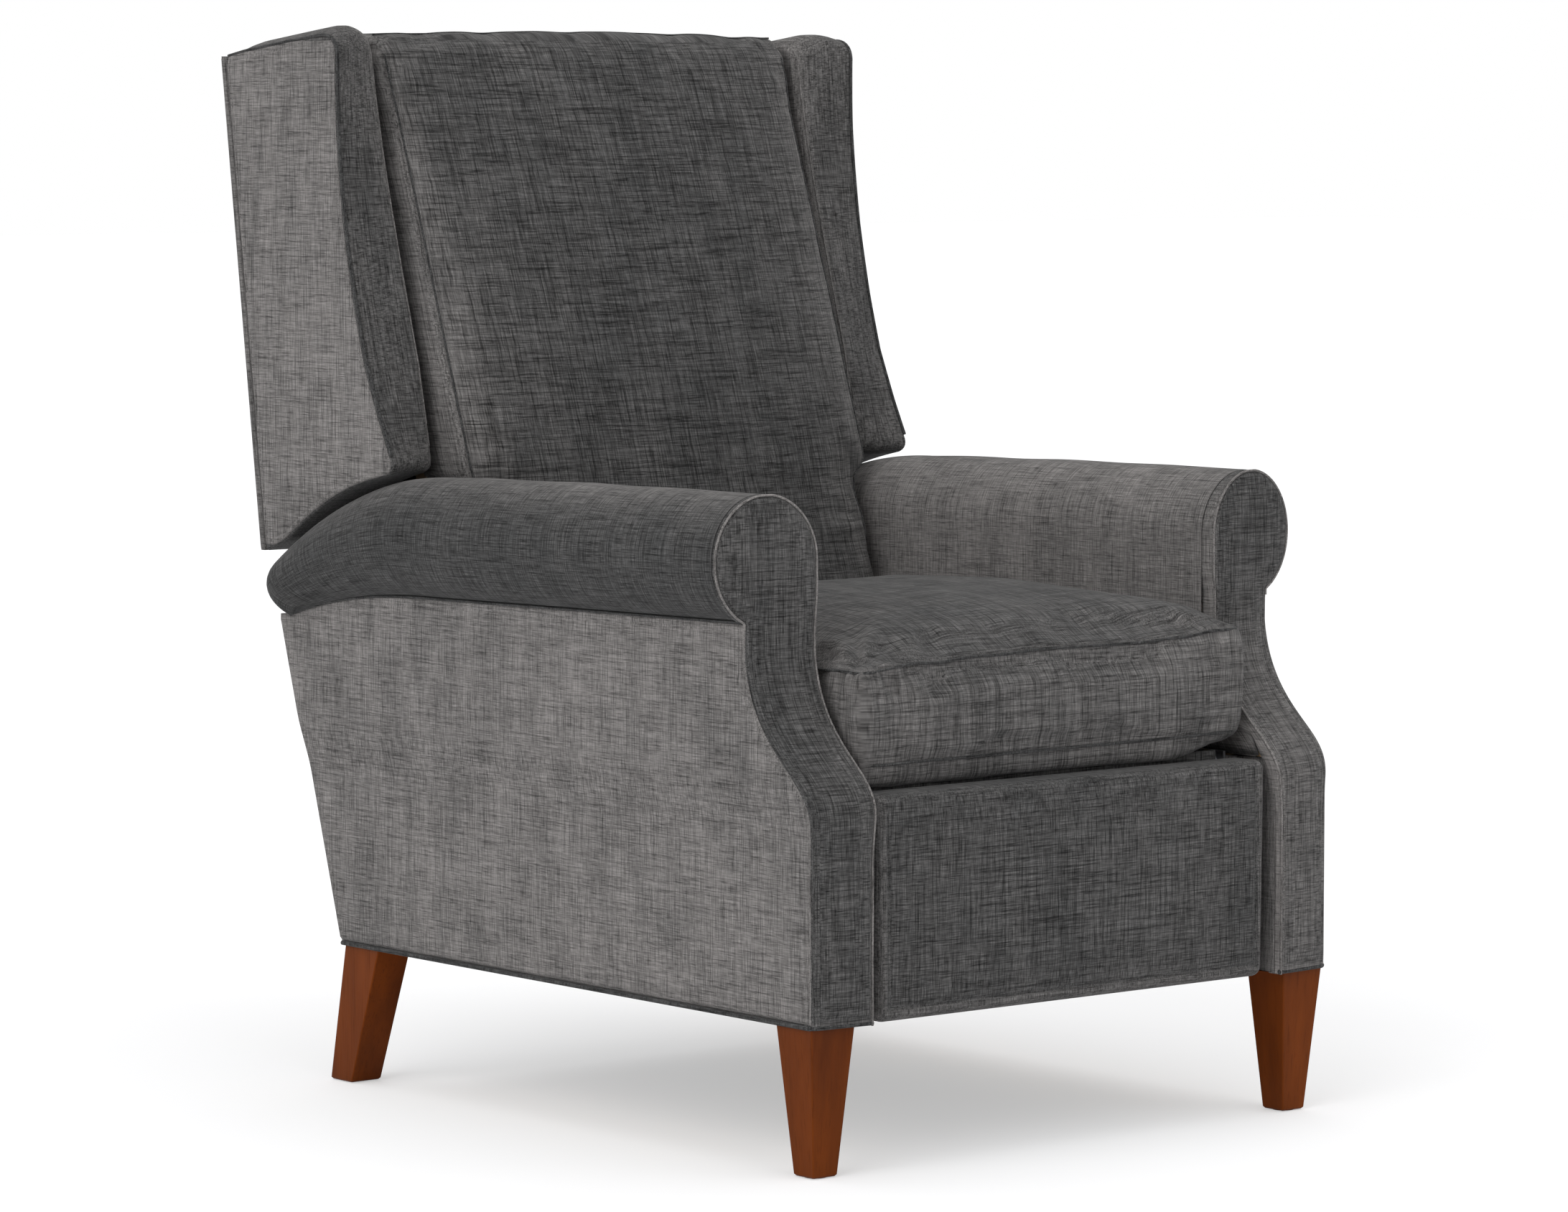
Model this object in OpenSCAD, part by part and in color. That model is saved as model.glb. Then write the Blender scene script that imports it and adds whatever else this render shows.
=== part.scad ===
/* [Overall] */
// Depth from the foremost edge of the arms to the rear edge of the back, at rest
depth = 1000; // [960:1:1050]
// Clear width between the two inner arm faces
inner_w = 524; // [500:1:560]
// Thickness of an arm, from its inner face to its outside panel
arm_t = 80; // [70:1:95]
// Height of the fabric's lower edge above the floor
leg_h = 147; // [120:1:180]
/* [Arms] */
// Height of the arm's top above the floor
arm_h = 655; // [640:1:670]
// Width of the rolled arm across its roll
roll_w = 119; // [105:1:125]
// How far the arm's front sweeps back above the seat rail
sweep = 95; // [60:1:110]
// Thickness of the upholstered arm and side panels
panel_t = 8; // [6:0.5:12]
/* [Back] */
// Height of the wings' top above the floor
back_h = 1103; // [1060:1:1130]
// Thickness of a wing across the chair
wing_t = 66; // [50:1:75]
// Lean of the back cushion's face from upright, in degrees
lean = 18.9; // [16:0.1:21]
// Depth of the back cushion
back_cushion_t = 96; // [80:1:110]
/* [Seat] */
// Height of the seat cushion's boxed edge
cushion_h = 116; // [95:1:125]
// Rise of the seat cushion's crown above its edge
crown = 50; // [20:1:56]
// Height of the seat cushion's underside above the floor
seat_z = 376; // [374:1:384]
/* [Legs] */
// Width of a front leg at its top
leg_top = 54; // [46:1:60]
// Width of a front leg at the floor
leg_foot = 30; // [24:1:38]
// How far a rear leg's foot stands behind its top
rear_rake = 42; // [20:1:50]
/* [Footrest] */
// Gap between the footrest panel and each arm
footrest_gap = 3.5; // [3:0.5:12]
// Height of the footrest panel
footrest_h = 221; // [205:1:224]
/* [Mechanism] */
// Thickness of the steel links and plates
steel = 3; // [2.5:0.1:3.5]
// Gap between neighbouring layers of steel
layer_gap = 1; // [0.6:0.1:1.2]
// Radius of the link pins
pin_r = 4; // [3:0.5:5]
// Radial running clearance of every pin in its bore
run_fit = 0.05; // [0.02:0.01:0.1]
/* [Hidden] */
// Gap kept between soft pieces of different bodies
soft_gap = 2;
// Smallest gap between pieces that only touch
seat_gap = 0.3;
// Gap between hard pieces that are screwed together
touch = 0.1;
// Thickness of the cloth and battens under the base frame
base_skin = 2;
// Curved steel and timber parts use this many sides
round_fn = 48;
inner_half = inner_w / 2;
footrest_w = inner_w - 2 * footrest_gap;
outer_half = inner_half + arm_t;
// Upper arm side stands this far outside the lower one
flare = 5;
roll_r = roll_w / 2;
roll_x = inner_half + roll_r;
roll_hh = 65;
// Side view: d runs back from the footrest's face, z up from the floor
base_d = 11;
// The arm fronts slant: their inner edges stand this much further forward
slant = 9;
arm_front_d = base_d + sweep;
sweep_z0 = 345;
sweep_z1 = 500;
seam_z = 532;
// Axis on which the back turns, low in the base
pivot = [612, 200];
// The arms' tops fall away to the rear on this radius about the axis
arm_r = arm_h - pivot[1] - 7;
// The wings' lower edges run on this radius about the axis
wing_gap = 8;
wing_r = arm_r + wing_gap;
seam_r = 324;
seam_rise = 68;
arm_end_a = 42;
base_rear_d = 793;
rear_slope = 0.3;
wood = [0.72, 0.55, 0.36];
stain = [0.39, 0.2, 0.1];
charcoal = [0.28, 0.29, 0.29];
greige = [0.46, 0.45, 0.44];
zinc = [0.66, 0.67, 0.69];
black = [0.1, 0.1, 0.1];
foam = [0.34, 0.35, 0.35];

// Rotates a side-view drawing upright: x becomes depth, y becomes height
module side(x0, w) {
  translate([x0, -depth / 2, 0]) rotate([90, 0, 90]) linear_extrude(w) children();
}
// Rotates a front-view drawing upright: x stays, y becomes height
module front(d0, t) {
  translate([0, d0 + t - depth / 2, 0]) rotate([90, 0, 0]) linear_extrude(t) children();
}
module both() {
  children();
  mirror([1, 0, 0]) children();
}
// A round bar along X, centred on a side-view point
module bar(p, r, x0, w) {
  translate([x0, p[0] - depth / 2, p[1]]) rotate([0, 90, 0]) cylinder(r = r, h = w, $fn = round_fn);
}
function about(r, a) = [pivot[0] + r * sin(a), pivot[1] + r * cos(a)];
function bezier(p, t) = pow(1 - t, 3) * p[0] + 3 * t * pow(1 - t, 2) * p[1]
  + 3 * t * t * (1 - t) * p[2] + pow(t, 3) * p[3];
// The arm's front edge in side view, set back by an inset
function front_edge(inset) = [for (i = [0:12]) bezier([[base_d + inset, sweep_z0],
  [base_d + inset, sweep_z0 + 50], [arm_front_d - 10 + inset, sweep_z0 + 60],
  [arm_front_d + inset, sweep_z1]], i / 12)];
// The seam below the roll, from the front to the arm's rear end, lowered by a drop
function seam_edge(drop) = [for (i = [0:11]) about(seam_r - drop + seam_rise * pow(i / 11, 2),
  arm_end_a * i / 11)];
function rear_d(z) = base_rear_d + rear_slope * (z - leg_h);
seam_end = seam_edge(0)[11];
function arm_outline(inset, drop, floor_z) = concat([[base_d + inset, floor_z]], front_edge(inset),
  [[arm_front_d + inset, seam_z - drop]], seam_edge(drop),
  [[rear_d(floor_z) - inset, floor_z]]);
// Faces of a closed loft of n rings of m points each
function loft_faces(n, m) = concat(
  [for (i = [0:n - 2]) for (j = [0:m - 1])
    [i * m + j, i * m + (j + 1) % m, (i + 1) * m + (j + 1) % m]],
  [for (i = [0:n - 2]) for (j = [0:m - 1])
    [i * m + j, (i + 1) * m + (j + 1) % m, (i + 1) * m + j]],
  [for (j = [1:m - 2]) [0, j + 1, j]],
  [for (j = [1:m - 2]) [(n - 1) * m, (n - 1) * m + j, (n - 1) * m + j + 1]]);
module loft(rings) {
  polyhedron(points = [for (r = rings) for (p = r) p],
    faces = loft_faces(len(rings), len(rings[0])), convexity = 6);
}
// A rounded rectangle as m points, anticlockwise, with a power-law corner
function soft_rect(hw, hd, m, p) = [for (j = [0:m - 1]) let (a = 360 * j / m, c = cos(a), s = sin(a))
  [hw * sign(c) * pow(abs(c), p), hd * sign(s) * pow(abs(s), p)]];

/* Arms and base */
post_w = 58;
frame_inset = 16;
frame_x = inner_half + panel_t;
frame_w = arm_t - 2 * panel_t - seat_gap;
rail_top = 210;
plate_x = inner_half - 12;
// The side frame's window: its member widths at the front, along the top and round the rear end
brace_w = 45;
top_rail = 50;
heel_rail = 70;
toe_drop = 30;
module side_frame_2d() {
  top_in = seam_z - 14;
  difference() {
    polygon(arm_outline(frame_inset, 14, leg_h + base_skin));
    polygon([[frame_inset + base_d + post_w, rail_top], [frame_inset + base_d + post_w, sweep_z0 - 20],
      [arm_front_d + frame_inset + brace_w, top_in - top_rail - toe_drop],
      [arm_front_d + frame_inset + brace_w, top_in - top_rail],
      about(seam_r - heel_rail, 0), about(seam_r - heel_rail + 10, arm_end_a / 2 + 1),
      [rear_d(rail_top) - post_w - 20, rail_top]]);
  }
}
module left_side_frame() {
  color(wood) {
    side(-frame_x - frame_w, frame_w) side_frame_2d();
    side(-frame_x, frame_x - plate_x - steel - touch) polygon([[70, leg_h + base_skin], [70, rail_top - 2],
      [rear_panel_d - touch, rail_top - 2], [rear_panel_d - touch, leg_h + base_skin]]);
  }
}
module right_side_frame() {
  mirror([1, 0, 0]) left_side_frame();
}
front_rail_d = 177;
rear_rail_d = 735;
rail_t = 24;
rail_h = 58;
rail_z = leg_h + base_skin + touch;
module front_rail() {
  color(wood) translate([-plate_x + touch, front_rail_d - depth / 2, rail_z])
    cube([2 * (plate_x - touch), rail_t, rail_h]);
}
module rear_rail() {
  color(wood) translate([-plate_x - steel, rear_rail_d - depth / 2, rail_z])
    cube([2 * (plate_x + steel), rail_t, rail_h]);
}
block = 46;
module corner_blocks() {
  color(wood) both() {
    side(plate_x - block, block - touch) polygon([[front_rail_d + rail_t, rail_z],
      [front_rail_d + rail_t, leg_h + rail_h], [front_rail_d + rail_t + block, rail_z]]);
    side(plate_x - block, block - touch) polygon([[rear_rail_d, rail_z], [rear_rail_d, leg_h + rail_h],
      [rear_rail_d - block, rail_z]]);
  }
}
module left_outer_panel() {
  color(greige) intersection() {
    side(-outer_half - flare, panel_t + 2 * flare) polygon(arm_outline(panel_t + 6, 0, leg_h));
    front(0, depth) polygon([[-outer_half, leg_h], [-outer_half, sweep_z0],
      [-outer_half - flare, sweep_z0 + 55],
      [-outer_half - flare, arm_h], [-outer_half + panel_t - flare, arm_h],
      [-outer_half + panel_t - flare, sweep_z0 + 55], [-outer_half + panel_t, sweep_z0],
      [-outer_half + panel_t, leg_h]]);
  }
}
module right_outer_panel() {
  mirror([1, 0, 0]) left_outer_panel();
}
panel_low = seat_z - 8;
module left_inner_panel() {
  color(charcoal) side(-inner_half - panel_t, panel_t) polygon(concat(
    [for (p = front_edge(panel_t + 6)) if (p[1] > panel_low) p], [[arm_front_d + panel_t + 6, seam_z - 2]],
    seam_edge(2), [[rear_d(panel_low) - 6, panel_low], [base_d + panel_t + 6 + 12, panel_low]]));
}
module right_inner_panel() {
  mirror([1, 0, 0]) left_inner_panel();
}
front_panel_t = panel_t + 6;
// The arm front's outline seen from the front: roll above, waist, then the lower post
module arm_face_2d() {
  polygon([[-outer_half, leg_h], [-outer_half, sweep_z0], [-outer_half - flare, sweep_z0 + 35],
    [-outer_half - flare, seam_z], [-roll_x, arm_h - roll_hh], [-inner_half, arm_h - roll_hh],
    [-inner_half - 2, sweep_z0 + 40], [-inner_half - panel_t, sweep_z0 - 5], [-inner_half - panel_t, leg_h]]);
  translate([-roll_x, arm_h - roll_hh]) scale([1, roll_hh / roll_r]) circle(r = roll_r, $fn = 64);
}
// The panel in side view at one distance across the arm, its rear face plumb
function face_ring(x) = let (o = -slant * (x + outer_half) / arm_t, r = front_panel_t - 0.5) [for (p = concat(
  [[base_d + o, leg_h]], front_edge(o), [[arm_front_d + o, arm_h + 5], [arm_front_d + r, arm_h + 5]],
  [for (i = [12:-1:0]) front_edge(r)[i]], [[base_d + r, leg_h]])) [x, p[0] - depth / 2, p[1]]];
module left_front_panel() {
  color(charcoal) intersection() {
    front(-slant - 1, arm_front_d + front_panel_t + slant + 2) arm_face_2d();
    loft([face_ring(-roll_x - roll_r - 5), face_ring(-inner_half + 5)]);
  }
}
module right_front_panel() {
  mirror([1, 0, 0]) left_front_panel();
}
// The roll: rings across the arm, straight to the back's axis and then round it
roll_m = 28;
roll_low = seam_z - 4;
function roll_ring(a, d, top, low, k) = [for (j = [0:roll_m - 1]) let (q = 360 * j / roll_m,
  mid = (top + low) / 2, hh = (top - low) / 2 * k, r = mid + hh * sin(q), p = a > 0 ? about(r, a) : [d, r])
  [-roll_x - roll_r * (0.35 + 0.65 * k) * cos(q), p[0] - depth / 2, p[1]]];
function roll_rings() = concat(
  [for (i = [0:5]) let (t = i / 5, d = arm_front_d + front_panel_t)
    roll_ring(0, d + t * (pivot[0] - d), arm_h - 7 * t * t, roll_low - 8 * t, 1)],
  [for (i = [1:9]) let (t = 0.9 * i / 9)
    roll_ring(arm_end_a * t, 0, arm_r, seam_r - 4 + seam_rise * t * t, 1)],
  [for (i = [1:4]) let (e = i / 4, t = 0.9 + 0.1 * e, k = sqrt(1 - pow(0.94 * e, 2)))
    roll_ring(arm_end_a * t, 0, arm_r, seam_r - 4 + seam_rise * t * t, k)]);
module left_arm_pad() {
  color(charcoal) difference() {
    loft(roll_rings());
    side(-frame_x - frame_w - 0.2, frame_w + 0.4) polygon(arm_outline(frame_inset - 0.3, 14 - 0.3, leg_h));
    side(-outer_half - flare - 0.3, panel_t + 2 * flare + 0.6)
      polygon(arm_outline(panel_t + 5.7, -0.3, leg_h));
    side(-inner_half - panel_t - 0.3, panel_t + 1) polygon(arm_outline(panel_t + 5.7, 1.7, leg_h));
  }
}
module right_arm_pad() {
  mirror([1, 0, 0]) left_arm_pad();
}
rear_panel_d = 776;
rear_panel_h = 140;
module rear_panel() {
  color(charcoal) translate([-frame_x + seat_gap, rear_panel_d - depth / 2, leg_h])
    cube([2 * (frame_x - seat_gap), panel_t + 2, rear_panel_h]);
}
module dust_cover() {
  color(black) translate([-plate_x - steel, front_rail_d - depth / 2, leg_h])
    cube([2 * (plate_x + steel), rear_panel_d - front_rail_d - seat_gap, base_skin]);
}

/* Legs */
leg_front_d = 15;
leg_x = outer_half - 3;
rear_leg_d = 728;
rear_leg_depth = 60;
rear_leg_w = 42;
rear_foot = 38;
glide_h = 1;
module leg(x0, d0, w, dd, foot_w, foot_d, shift) {
  hull() {
    translate([x0, d0 - depth / 2, leg_h - 0.5]) cube([w, dd, 0.5]);
    translate([x0 + (w - foot_w) / 2, d0 + (dd - foot_d) / 2 + shift - depth / 2, glide_h])
      cube([foot_w, foot_d, 0.5]);
  }
}
module front_left_leg() {
  color(stain) leg(-leg_x, leg_front_d, leg_top, leg_top, leg_foot, leg_foot, 0);
}
module front_right_leg() {
  mirror([1, 0, 0]) front_left_leg();
}
module rear_left_leg() {
  color(stain) leg(-leg_x, rear_leg_d, rear_leg_w, rear_leg_depth, rear_foot, rear_foot, rear_rake);
}
module rear_right_leg() {
  mirror([1, 0, 0]) rear_left_leg();
}
// Middles of the front and rear legs, seen from above
front_mid = [leg_x - leg_top / 2, leg_front_d + leg_top / 2 - depth / 2];
rear_mid = [leg_x - rear_leg_w / 2, rear_leg_d + rear_leg_depth / 2 - depth / 2];
leg_bolt_r = 4;
glide_r = 11;
module leg_bolts() {
  color(zinc) both() for (p = [front_mid, rear_mid])
    translate([p[0], p[1], leg_h]) cylinder(r = leg_bolt_r, h = base_skin, $fn = round_fn);
}
module leg_glides() {
  color(black) both() for (p = [front_mid, rear_mid + [0, rear_rake]])
    translate([p[0], p[1], 0]) cylinder(r = glide_r, h = glide_h, $fn = round_fn);
}

/* Mechanism */
boss = 9;
// Radius of the bolts that the back turns on
bolt_r = 6;
// Layers of steel from the side plate inwards
function layer_x(n) = plate_x - n * (steel + layer_gap);
// Pivots in side view: drive link, guide link, knee, footrest
drive_pivot = [82, 361];
guide_pivot = drive_pivot + [25.4, -11.8];
drive_len = 195;
drive_a = -72;
lift_len = 177.6;
lift_a = 116.14;
guide_len = 197.1;
guide_a = -74.97;
control_len = 178.85;
control_a = 117;
function polar(l, a) = [l * cos(a), l * sin(a)];
knee = drive_pivot + polar(drive_len, drive_a);
footrest_pivot = knee + polar(lift_len, lift_a);
function on_link(p, a, u, v) = p + polar(u, a) + polar(v, a + 90);
control_pivot = on_link(drive_pivot, drive_a, drive_len + 22.3, -12.45);
control_end = footrest_pivot + [-8.3, -26];
lift_tail = on_link(knee, lift_a, -20, -5);
// A flat link's outline in side view: round ends on two pivots
module web(p, q, hw) {
  hull() {
    translate(p) circle(r = hw, $fn = round_fn);
    translate(q) circle(r = hw, $fn = round_fn);
  }
}
module bored(n, bores) {
  difference() {
    children();
    for (b = bores) bar(b, pin_r + run_fit, layer_x(n) - 1, steel + 2);
  }
}
plate_front_d = drive_pivot[0] - 13;
plate_rear_d = pivot[0] + 26;
module side_plate() {
  color(zinc) difference() {
    side(plate_x, steel) polygon([[plate_front_d, leg_h + 18], [plate_front_d, drive_pivot[1] + 11],
      [guide_pivot[0] + 12, drive_pivot[1] + 11], [plate_rear_d, seat_z - 10], [plate_rear_d, leg_h + 18]]);
    bar(drive_pivot, pin_r + run_fit, plate_x - 1, steel + 2);
    bar(guide_pivot, pin_r + run_fit, plate_x - 1, steel + 2);
    bar(pivot, bolt_r + run_fit, plate_x - 1, steel + 2);
  }
}
module left_side_plate() {
  mirror([1, 0, 0]) side_plate();
}
module right_side_plate() {
  side_plate();
}
rail_d0 = 190;
rail_len = 400;
channel_h = 26;
channel_w = 14;
channel_z = seat_z - 46;
travel = 60;
module seat_rails() {
  color(zinc) both() translate([plate_x - channel_w, rail_d0 - depth / 2, channel_z]) difference() {
    cube([channel_w, rail_len, channel_h]);
    translate([-1, -1, steel]) cube([channel_w - steel + 1, rail_len + 2, channel_h - 2 * steel]);
  }
}
runner_len = rail_len - travel - 20;
slide_gap = 0.4;
runner_w = channel_w - steel - slide_gap;
seat_half = plate_x - channel_w - 6;
module seat_runners() {
  color(zinc) both() translate([seat_half, rail_d0 + 5 - depth / 2, channel_z + steel + slide_gap])
    cube([runner_w + 6, runner_len, channel_h - 2 * steel - 2 * slide_gap]);
}
module frame_pins() {
  color(zinc) both() {
    bar(drive_pivot, pin_r, layer_x(2), 2 * (steel + layer_gap) + steel);
    bar(guide_pivot, pin_r, layer_x(4), 4 * (steel + layer_gap) + steel);
  }
}
module back_pivot_bolts() {
  color(zinc) both() {
    bar(pivot, bolt_r, plate_x - 10, 10 + steel);
    bar(pivot, bolt_r + 4, plate_x - 14, 4);
  }
}
module left_drive_link() {
  mirror([1, 0, 0]) right_drive_link();
}
module right_drive_link() {
  color(zinc) bored(2, [drive_pivot]) side(layer_x(2), steel) {
    web(drive_pivot, knee, boss);
    web(knee, control_pivot, boss - 1);
  }
}
module drive_pins() {
  color(zinc) both() {
    bar(knee, pin_r, layer_x(3), layer_gap + steel);
    bar(control_pivot, pin_r, layer_x(2) + steel, layer_gap + steel);
  }
}
tube_r = 6;
tube_along = 60;
tube_at = on_link(drive_pivot, drive_a, tube_along, -3);
module drive_tube() {
  color(zinc) bar(tube_at, tube_r, -layer_x(2), 2 * layer_x(2));
}
module left_lift_link() {
  mirror([1, 0, 0]) right_lift_link();
}
module right_lift_link() {
  color(zinc) bored(3, [knee]) side(layer_x(3), steel) {
    web(lift_tail, knee, boss - 1);
    web(knee, footrest_pivot, boss - 1);
  }
}
module lift_pins() {
  color(zinc) both() {
    bar(footrest_pivot, pin_r, layer_x(3) + steel, layer_gap + steel);
    bar(lift_tail, pin_r, layer_x(3) - layer_gap + seat_gap, layer_gap - seat_gap);
  }
}
module left_guide_link() {
  mirror([1, 0, 0]) right_guide_link();
}
module right_guide_link() {
  color(zinc) bored(4, [guide_pivot]) side(layer_x(4), steel)
    web(guide_pivot, guide_pivot + polar(guide_len, guide_a), boss - 1);
}
module left_control_link() {
  mirror([1, 0, 0]) right_control_link();
}
open_r = pin_r + 1.6;
module right_control_link() {
  color(zinc) difference() {
    bored(1, [control_pivot]) side(layer_x(1), steel) web(control_pivot, control_end, boss - 1);
    bar(control_end, open_r, layer_x(1) - 1, steel + 2);
  }
}

/* Seat */
seat_d0 = 60;
seat_d1 = 575;
seat_frame_h = 44;
frame_z = seat_z - 10 - seat_frame_h;
rail_wood = 26;
module seat_frame() {
  color(wood) translate([-seat_half, seat_d0 - depth / 2, frame_z]) difference() {
    cube([2 * seat_half, seat_d1 - seat_d0, seat_frame_h]);
    translate([rail_wood, rail_wood, -1])
      cube([2 * (seat_half - rail_wood), seat_d1 - seat_d0 - 2 * rail_wood, seat_frame_h + 2]);
  }
}
spring_count = 4;
spring_r = 1.8;
loop_r = 12;
loops = 12;
spring_z = seat_z - 10 + spring_r;
// A zigzag spring: half rings that turn left and right, from rail to rail
module zigzag(x0) {
  pitch = (seat_d1 - seat_d0 - rail_wood) / loops;
  start = seat_d0 + rail_wood / 2 - depth / 2;
  for (i = [0:loops - 1]) let (turn = i % 2 == 0 ? 1 : -1)
    translate([x0 + turn * loop_r, start + pitch * (i + 0.5), spring_z]) rotate([0, 0, -90 * turn])
      rotate_extrude(angle = 180, $fn = 24) translate([pitch / 2, 0]) circle(r = spring_r, $fn = 16);
  for (i = [0:loops]) translate([x0 - loop_r, start + pitch * i, spring_z])
    rotate([0, 90, 0]) cylinder(r = spring_r, h = 2 * loop_r, $fn = 16);
}
module seat_springs() {
  pitch = 2 * (seat_half - 50) / (spring_count - 1);
  color(zinc) for (i = [0:spring_count - 1]) zigzag((i - (spring_count - 1) / 2) * pitch);
}
deck_z = spring_z + spring_r;
deck_half = 230;
module seat_deck() {
  color(charcoal) translate([-deck_half, seat_d0 - depth / 2, deck_z])
    cube([2 * deck_half, seat_d1 - seat_d0, seat_z - deck_z - seat_gap]);
}
// A boxed cushion: rings from the middle of its underside, up the boxing, to its crown
cushion_front_d = 38;
under_crown = 13;
cushion_m = 56;
function cushion_ring(s, z, w, l, pinch) = [for (p = soft_rect(w / 2 * s, l / 2 * s, cushion_m, 0.22))
  let (px = pinch * s * (1 - pow(2 * p[1] / (l * s), 2)), py = pinch * s * (1 - pow(2 * p[0] / (w * s), 2)))
  [p[0] - sign(p[0]) * max(0, px), p[1] - sign(p[1]) * max(0, py), z]];
module seat_cushion() {
  w = inner_w - 4 * soft_gap;
  l = seat_d1 - soft_gap - cushion_front_d;
  color(charcoal) translate([0, (cushion_front_d + seat_d1 - soft_gap) / 2 - depth / 2, seat_z]) loft(concat(
    [for (s = [0.3, 0.7, 0.95]) cushion_ring(s, under_crown * pow(s, 6), w, l, 4)],
    [for (t = [0, 0.25, 0.5, 0.75, 1]) cushion_ring(1 - 0.012 * pow(2 * t - 1, 2),
      under_crown + (cushion_h - under_crown) * t, w, l, 4)],
    [for (s = [0.97, 0.9, 0.8, 0.68, 0.52, 0.35, 0.16])
      cushion_ring(s, cushion_h + crown * (1 - pow(s, 2.4)), w, l, 4)]));
}

/* Back */
// The wing in side view: its tip, its top, its rear face, and where its lower edge runs level
wing_tip_d = 689;
wing_top_d = 790;
wing_rear_top = 998;
wing_rear_low = 929;
wing_low_z = 557;
wing_flat_a = 35.3;
wing_tip_a = 9.8;
wing_drop = 21;
wing_corner = 14;
wing_flat = 26;
back_skin = 12;
wing_out = outer_half + 8;
// The back cushion's edge at the seat, and the line along which it leans
face_z0 = 640;
face_d0 = 655;
function face_d(z) = face_d0 + tan(lean) * (z - face_z0);
back_top = back_h + 5;
back_low = seat_z + 30;
post_t = 40;
post_w_back = 30;
rung_t = 28;
rung_h = 60;
post_x = plate_x - 26;
core_d = back_cushion_t + 2.6;
function back_rail_half(z) = z < arm_h ? post_x - 10 : wing_out - wing_t - touch;
module back_frame() {
  top = top_z(wing_rear(back_h)) - lid_t - seat_gap;
  color(wood) {
    both() side(post_x - 10, post_w_back) polygon([[face_d(back_low) + core_d, back_low],
      [face_d(back_low) + core_d + post_t, back_low],
      [face_d(top) + core_d + rung_t, top], [face_d(top) + core_d, top]]);
    for (z = [back_low, arm_h + rung_h, top - rung_h - 8]) side(-back_rail_half(z), 2 * back_rail_half(z))
      polygon([[face_d(z) + core_d, z], [face_d(z) + core_d + rung_t, z],
        [face_d(z + rung_h) + core_d + rung_t, z + rung_h], [face_d(z + rung_h) + core_d, z + rung_h]]);
  }
}
web_t = 2;
web_w = 50;
module back_webbing() {
  pitch = (back_h - back_low - 2 * web_w - rung_h) / 5.5;
  o = core_d - seat_gap;
  color(black) for (i = [0:5]) let (z = back_low + rung_h + 10 + i * pitch, z1 = z + web_w)
    side(-post_x - 15, 2 * post_x + 30) polygon([[face_d(z) + o - web_t, z], [face_d(z) + o, z],
      [face_d(z1) + o, z1], [face_d(z1) + o - web_t, z1]]);
}
// The back cushion: rings across it from its foot to its top
back_m = 40;
back_half = inner_half + 10;
function back_half_at(z) = z < arm_h + 6 ? inner_half - 4 : min(back_half, inner_half - 4 + (z - arm_h - 6));
function back_ring(z, s, c) = [for (p = soft_rect(1, 1, back_m, 0.25)) let (
  x = p[0] * back_half_at(z) * s, t = back_cushion_t * s, mid = face_d(z) + back_cushion_t / 2,
  bulge = p[1] < 0 ? c * (1 - pow(p[0], 2)) : 0)
  [x, mid + p[1] * t / 2 - bulge - depth / 2, z]];
back_stations = 22;
module back_cushion() {
  color(charcoal) loft([for (i = [0:back_stations]) let (t = i / back_stations,
    e = min(1, 9 * t, 9 * (1 - t)), s = 0.9 + 0.1 * sqrt(e * (2 - e)),
    z = back_low - 4 + (back_top - back_low + 4) * (t - 0.012 * sin(360 * t)))
    back_ring(z, s, 30 * pow(sin(180 * t), 0.6) * (z < arm_h ? 0.9 : 1))]);
}
top_drop = wing_drop / (wing_rear_top - wing_top_d - wing_flat);
lid_t = 10;
function top_z(d) = back_h - top_drop * (d - wing_top_d - wing_flat);
module back_top_panel() {
  d0 = face_d(back_h) + back_cushion_t + 4;
  z1 = top_z(wing_rear(back_h - wing_drop) - back_skin);
  color(charcoal) side(wing_t - wing_out + seat_gap, 2 * (wing_out - wing_t - seat_gap))
    polygon([[d0, top_z(d0) - lid_t], on_rear(z1 - lid_t, -seat_gap), on_rear(z1, -seat_gap),
      [d0, top_z(d0)]]);
}
function wing_front(inset) = let (low = about(wing_r + inset, wing_tip_a)[1] + wing_gap,
  high = back_h - wing_corner - inset) [for (i = [0:8]) let (t = i / 8)
  [wing_tip_d + inset + (wing_top_d - wing_tip_d) * (1 - pow(1 - t, 1.55)), low + (high - low) * t]];
function wing_arc(lift) = let (tip_a = wing_tip_a + lift / wing_r * 180 / PI) [for (i = [0:8])
  about(wing_r + lift, tip_a + (wing_flat_a - tip_a) * (8 - i) / 8)];
function wing_rear(z) = wing_rear_low
  + (wing_rear_top - wing_rear_low) * (z - wing_low_z) / (back_h - wing_drop - wing_low_z);
function on_rear(z, over) = [wing_rear(z) - back_skin + over, z];
function wing_outline(inset, over) = concat(wing_arc(inset), wing_front(inset),
  [[wing_top_d + wing_flat, back_h - inset], on_rear(back_h - wing_drop - inset, over),
  on_rear(wing_low_z + inset, over)]);
core_t = 20;
core_inset = 22;
module wing_core() {
  color(wood) side(wing_out - wing_t / 2 - core_t / 2, core_t) polygon(wing_outline(core_inset, -touch));
}
module wing_pad() {
  color(charcoal) difference() {
    side(wing_out - wing_t, wing_t) polygon(wing_outline(0, -seat_gap));
    side(wing_out - wing_t / 2 - core_t / 2 - 0.2, core_t + 0.4) polygon(wing_outline(core_inset - 0.8, 2));
  }
}
module left_wing_core() {
  mirror([1, 0, 0]) wing_core();
}
module right_wing_core() {
  wing_core();
}
module left_wing_pad() {
  mirror([1, 0, 0]) wing_pad();
}
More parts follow.
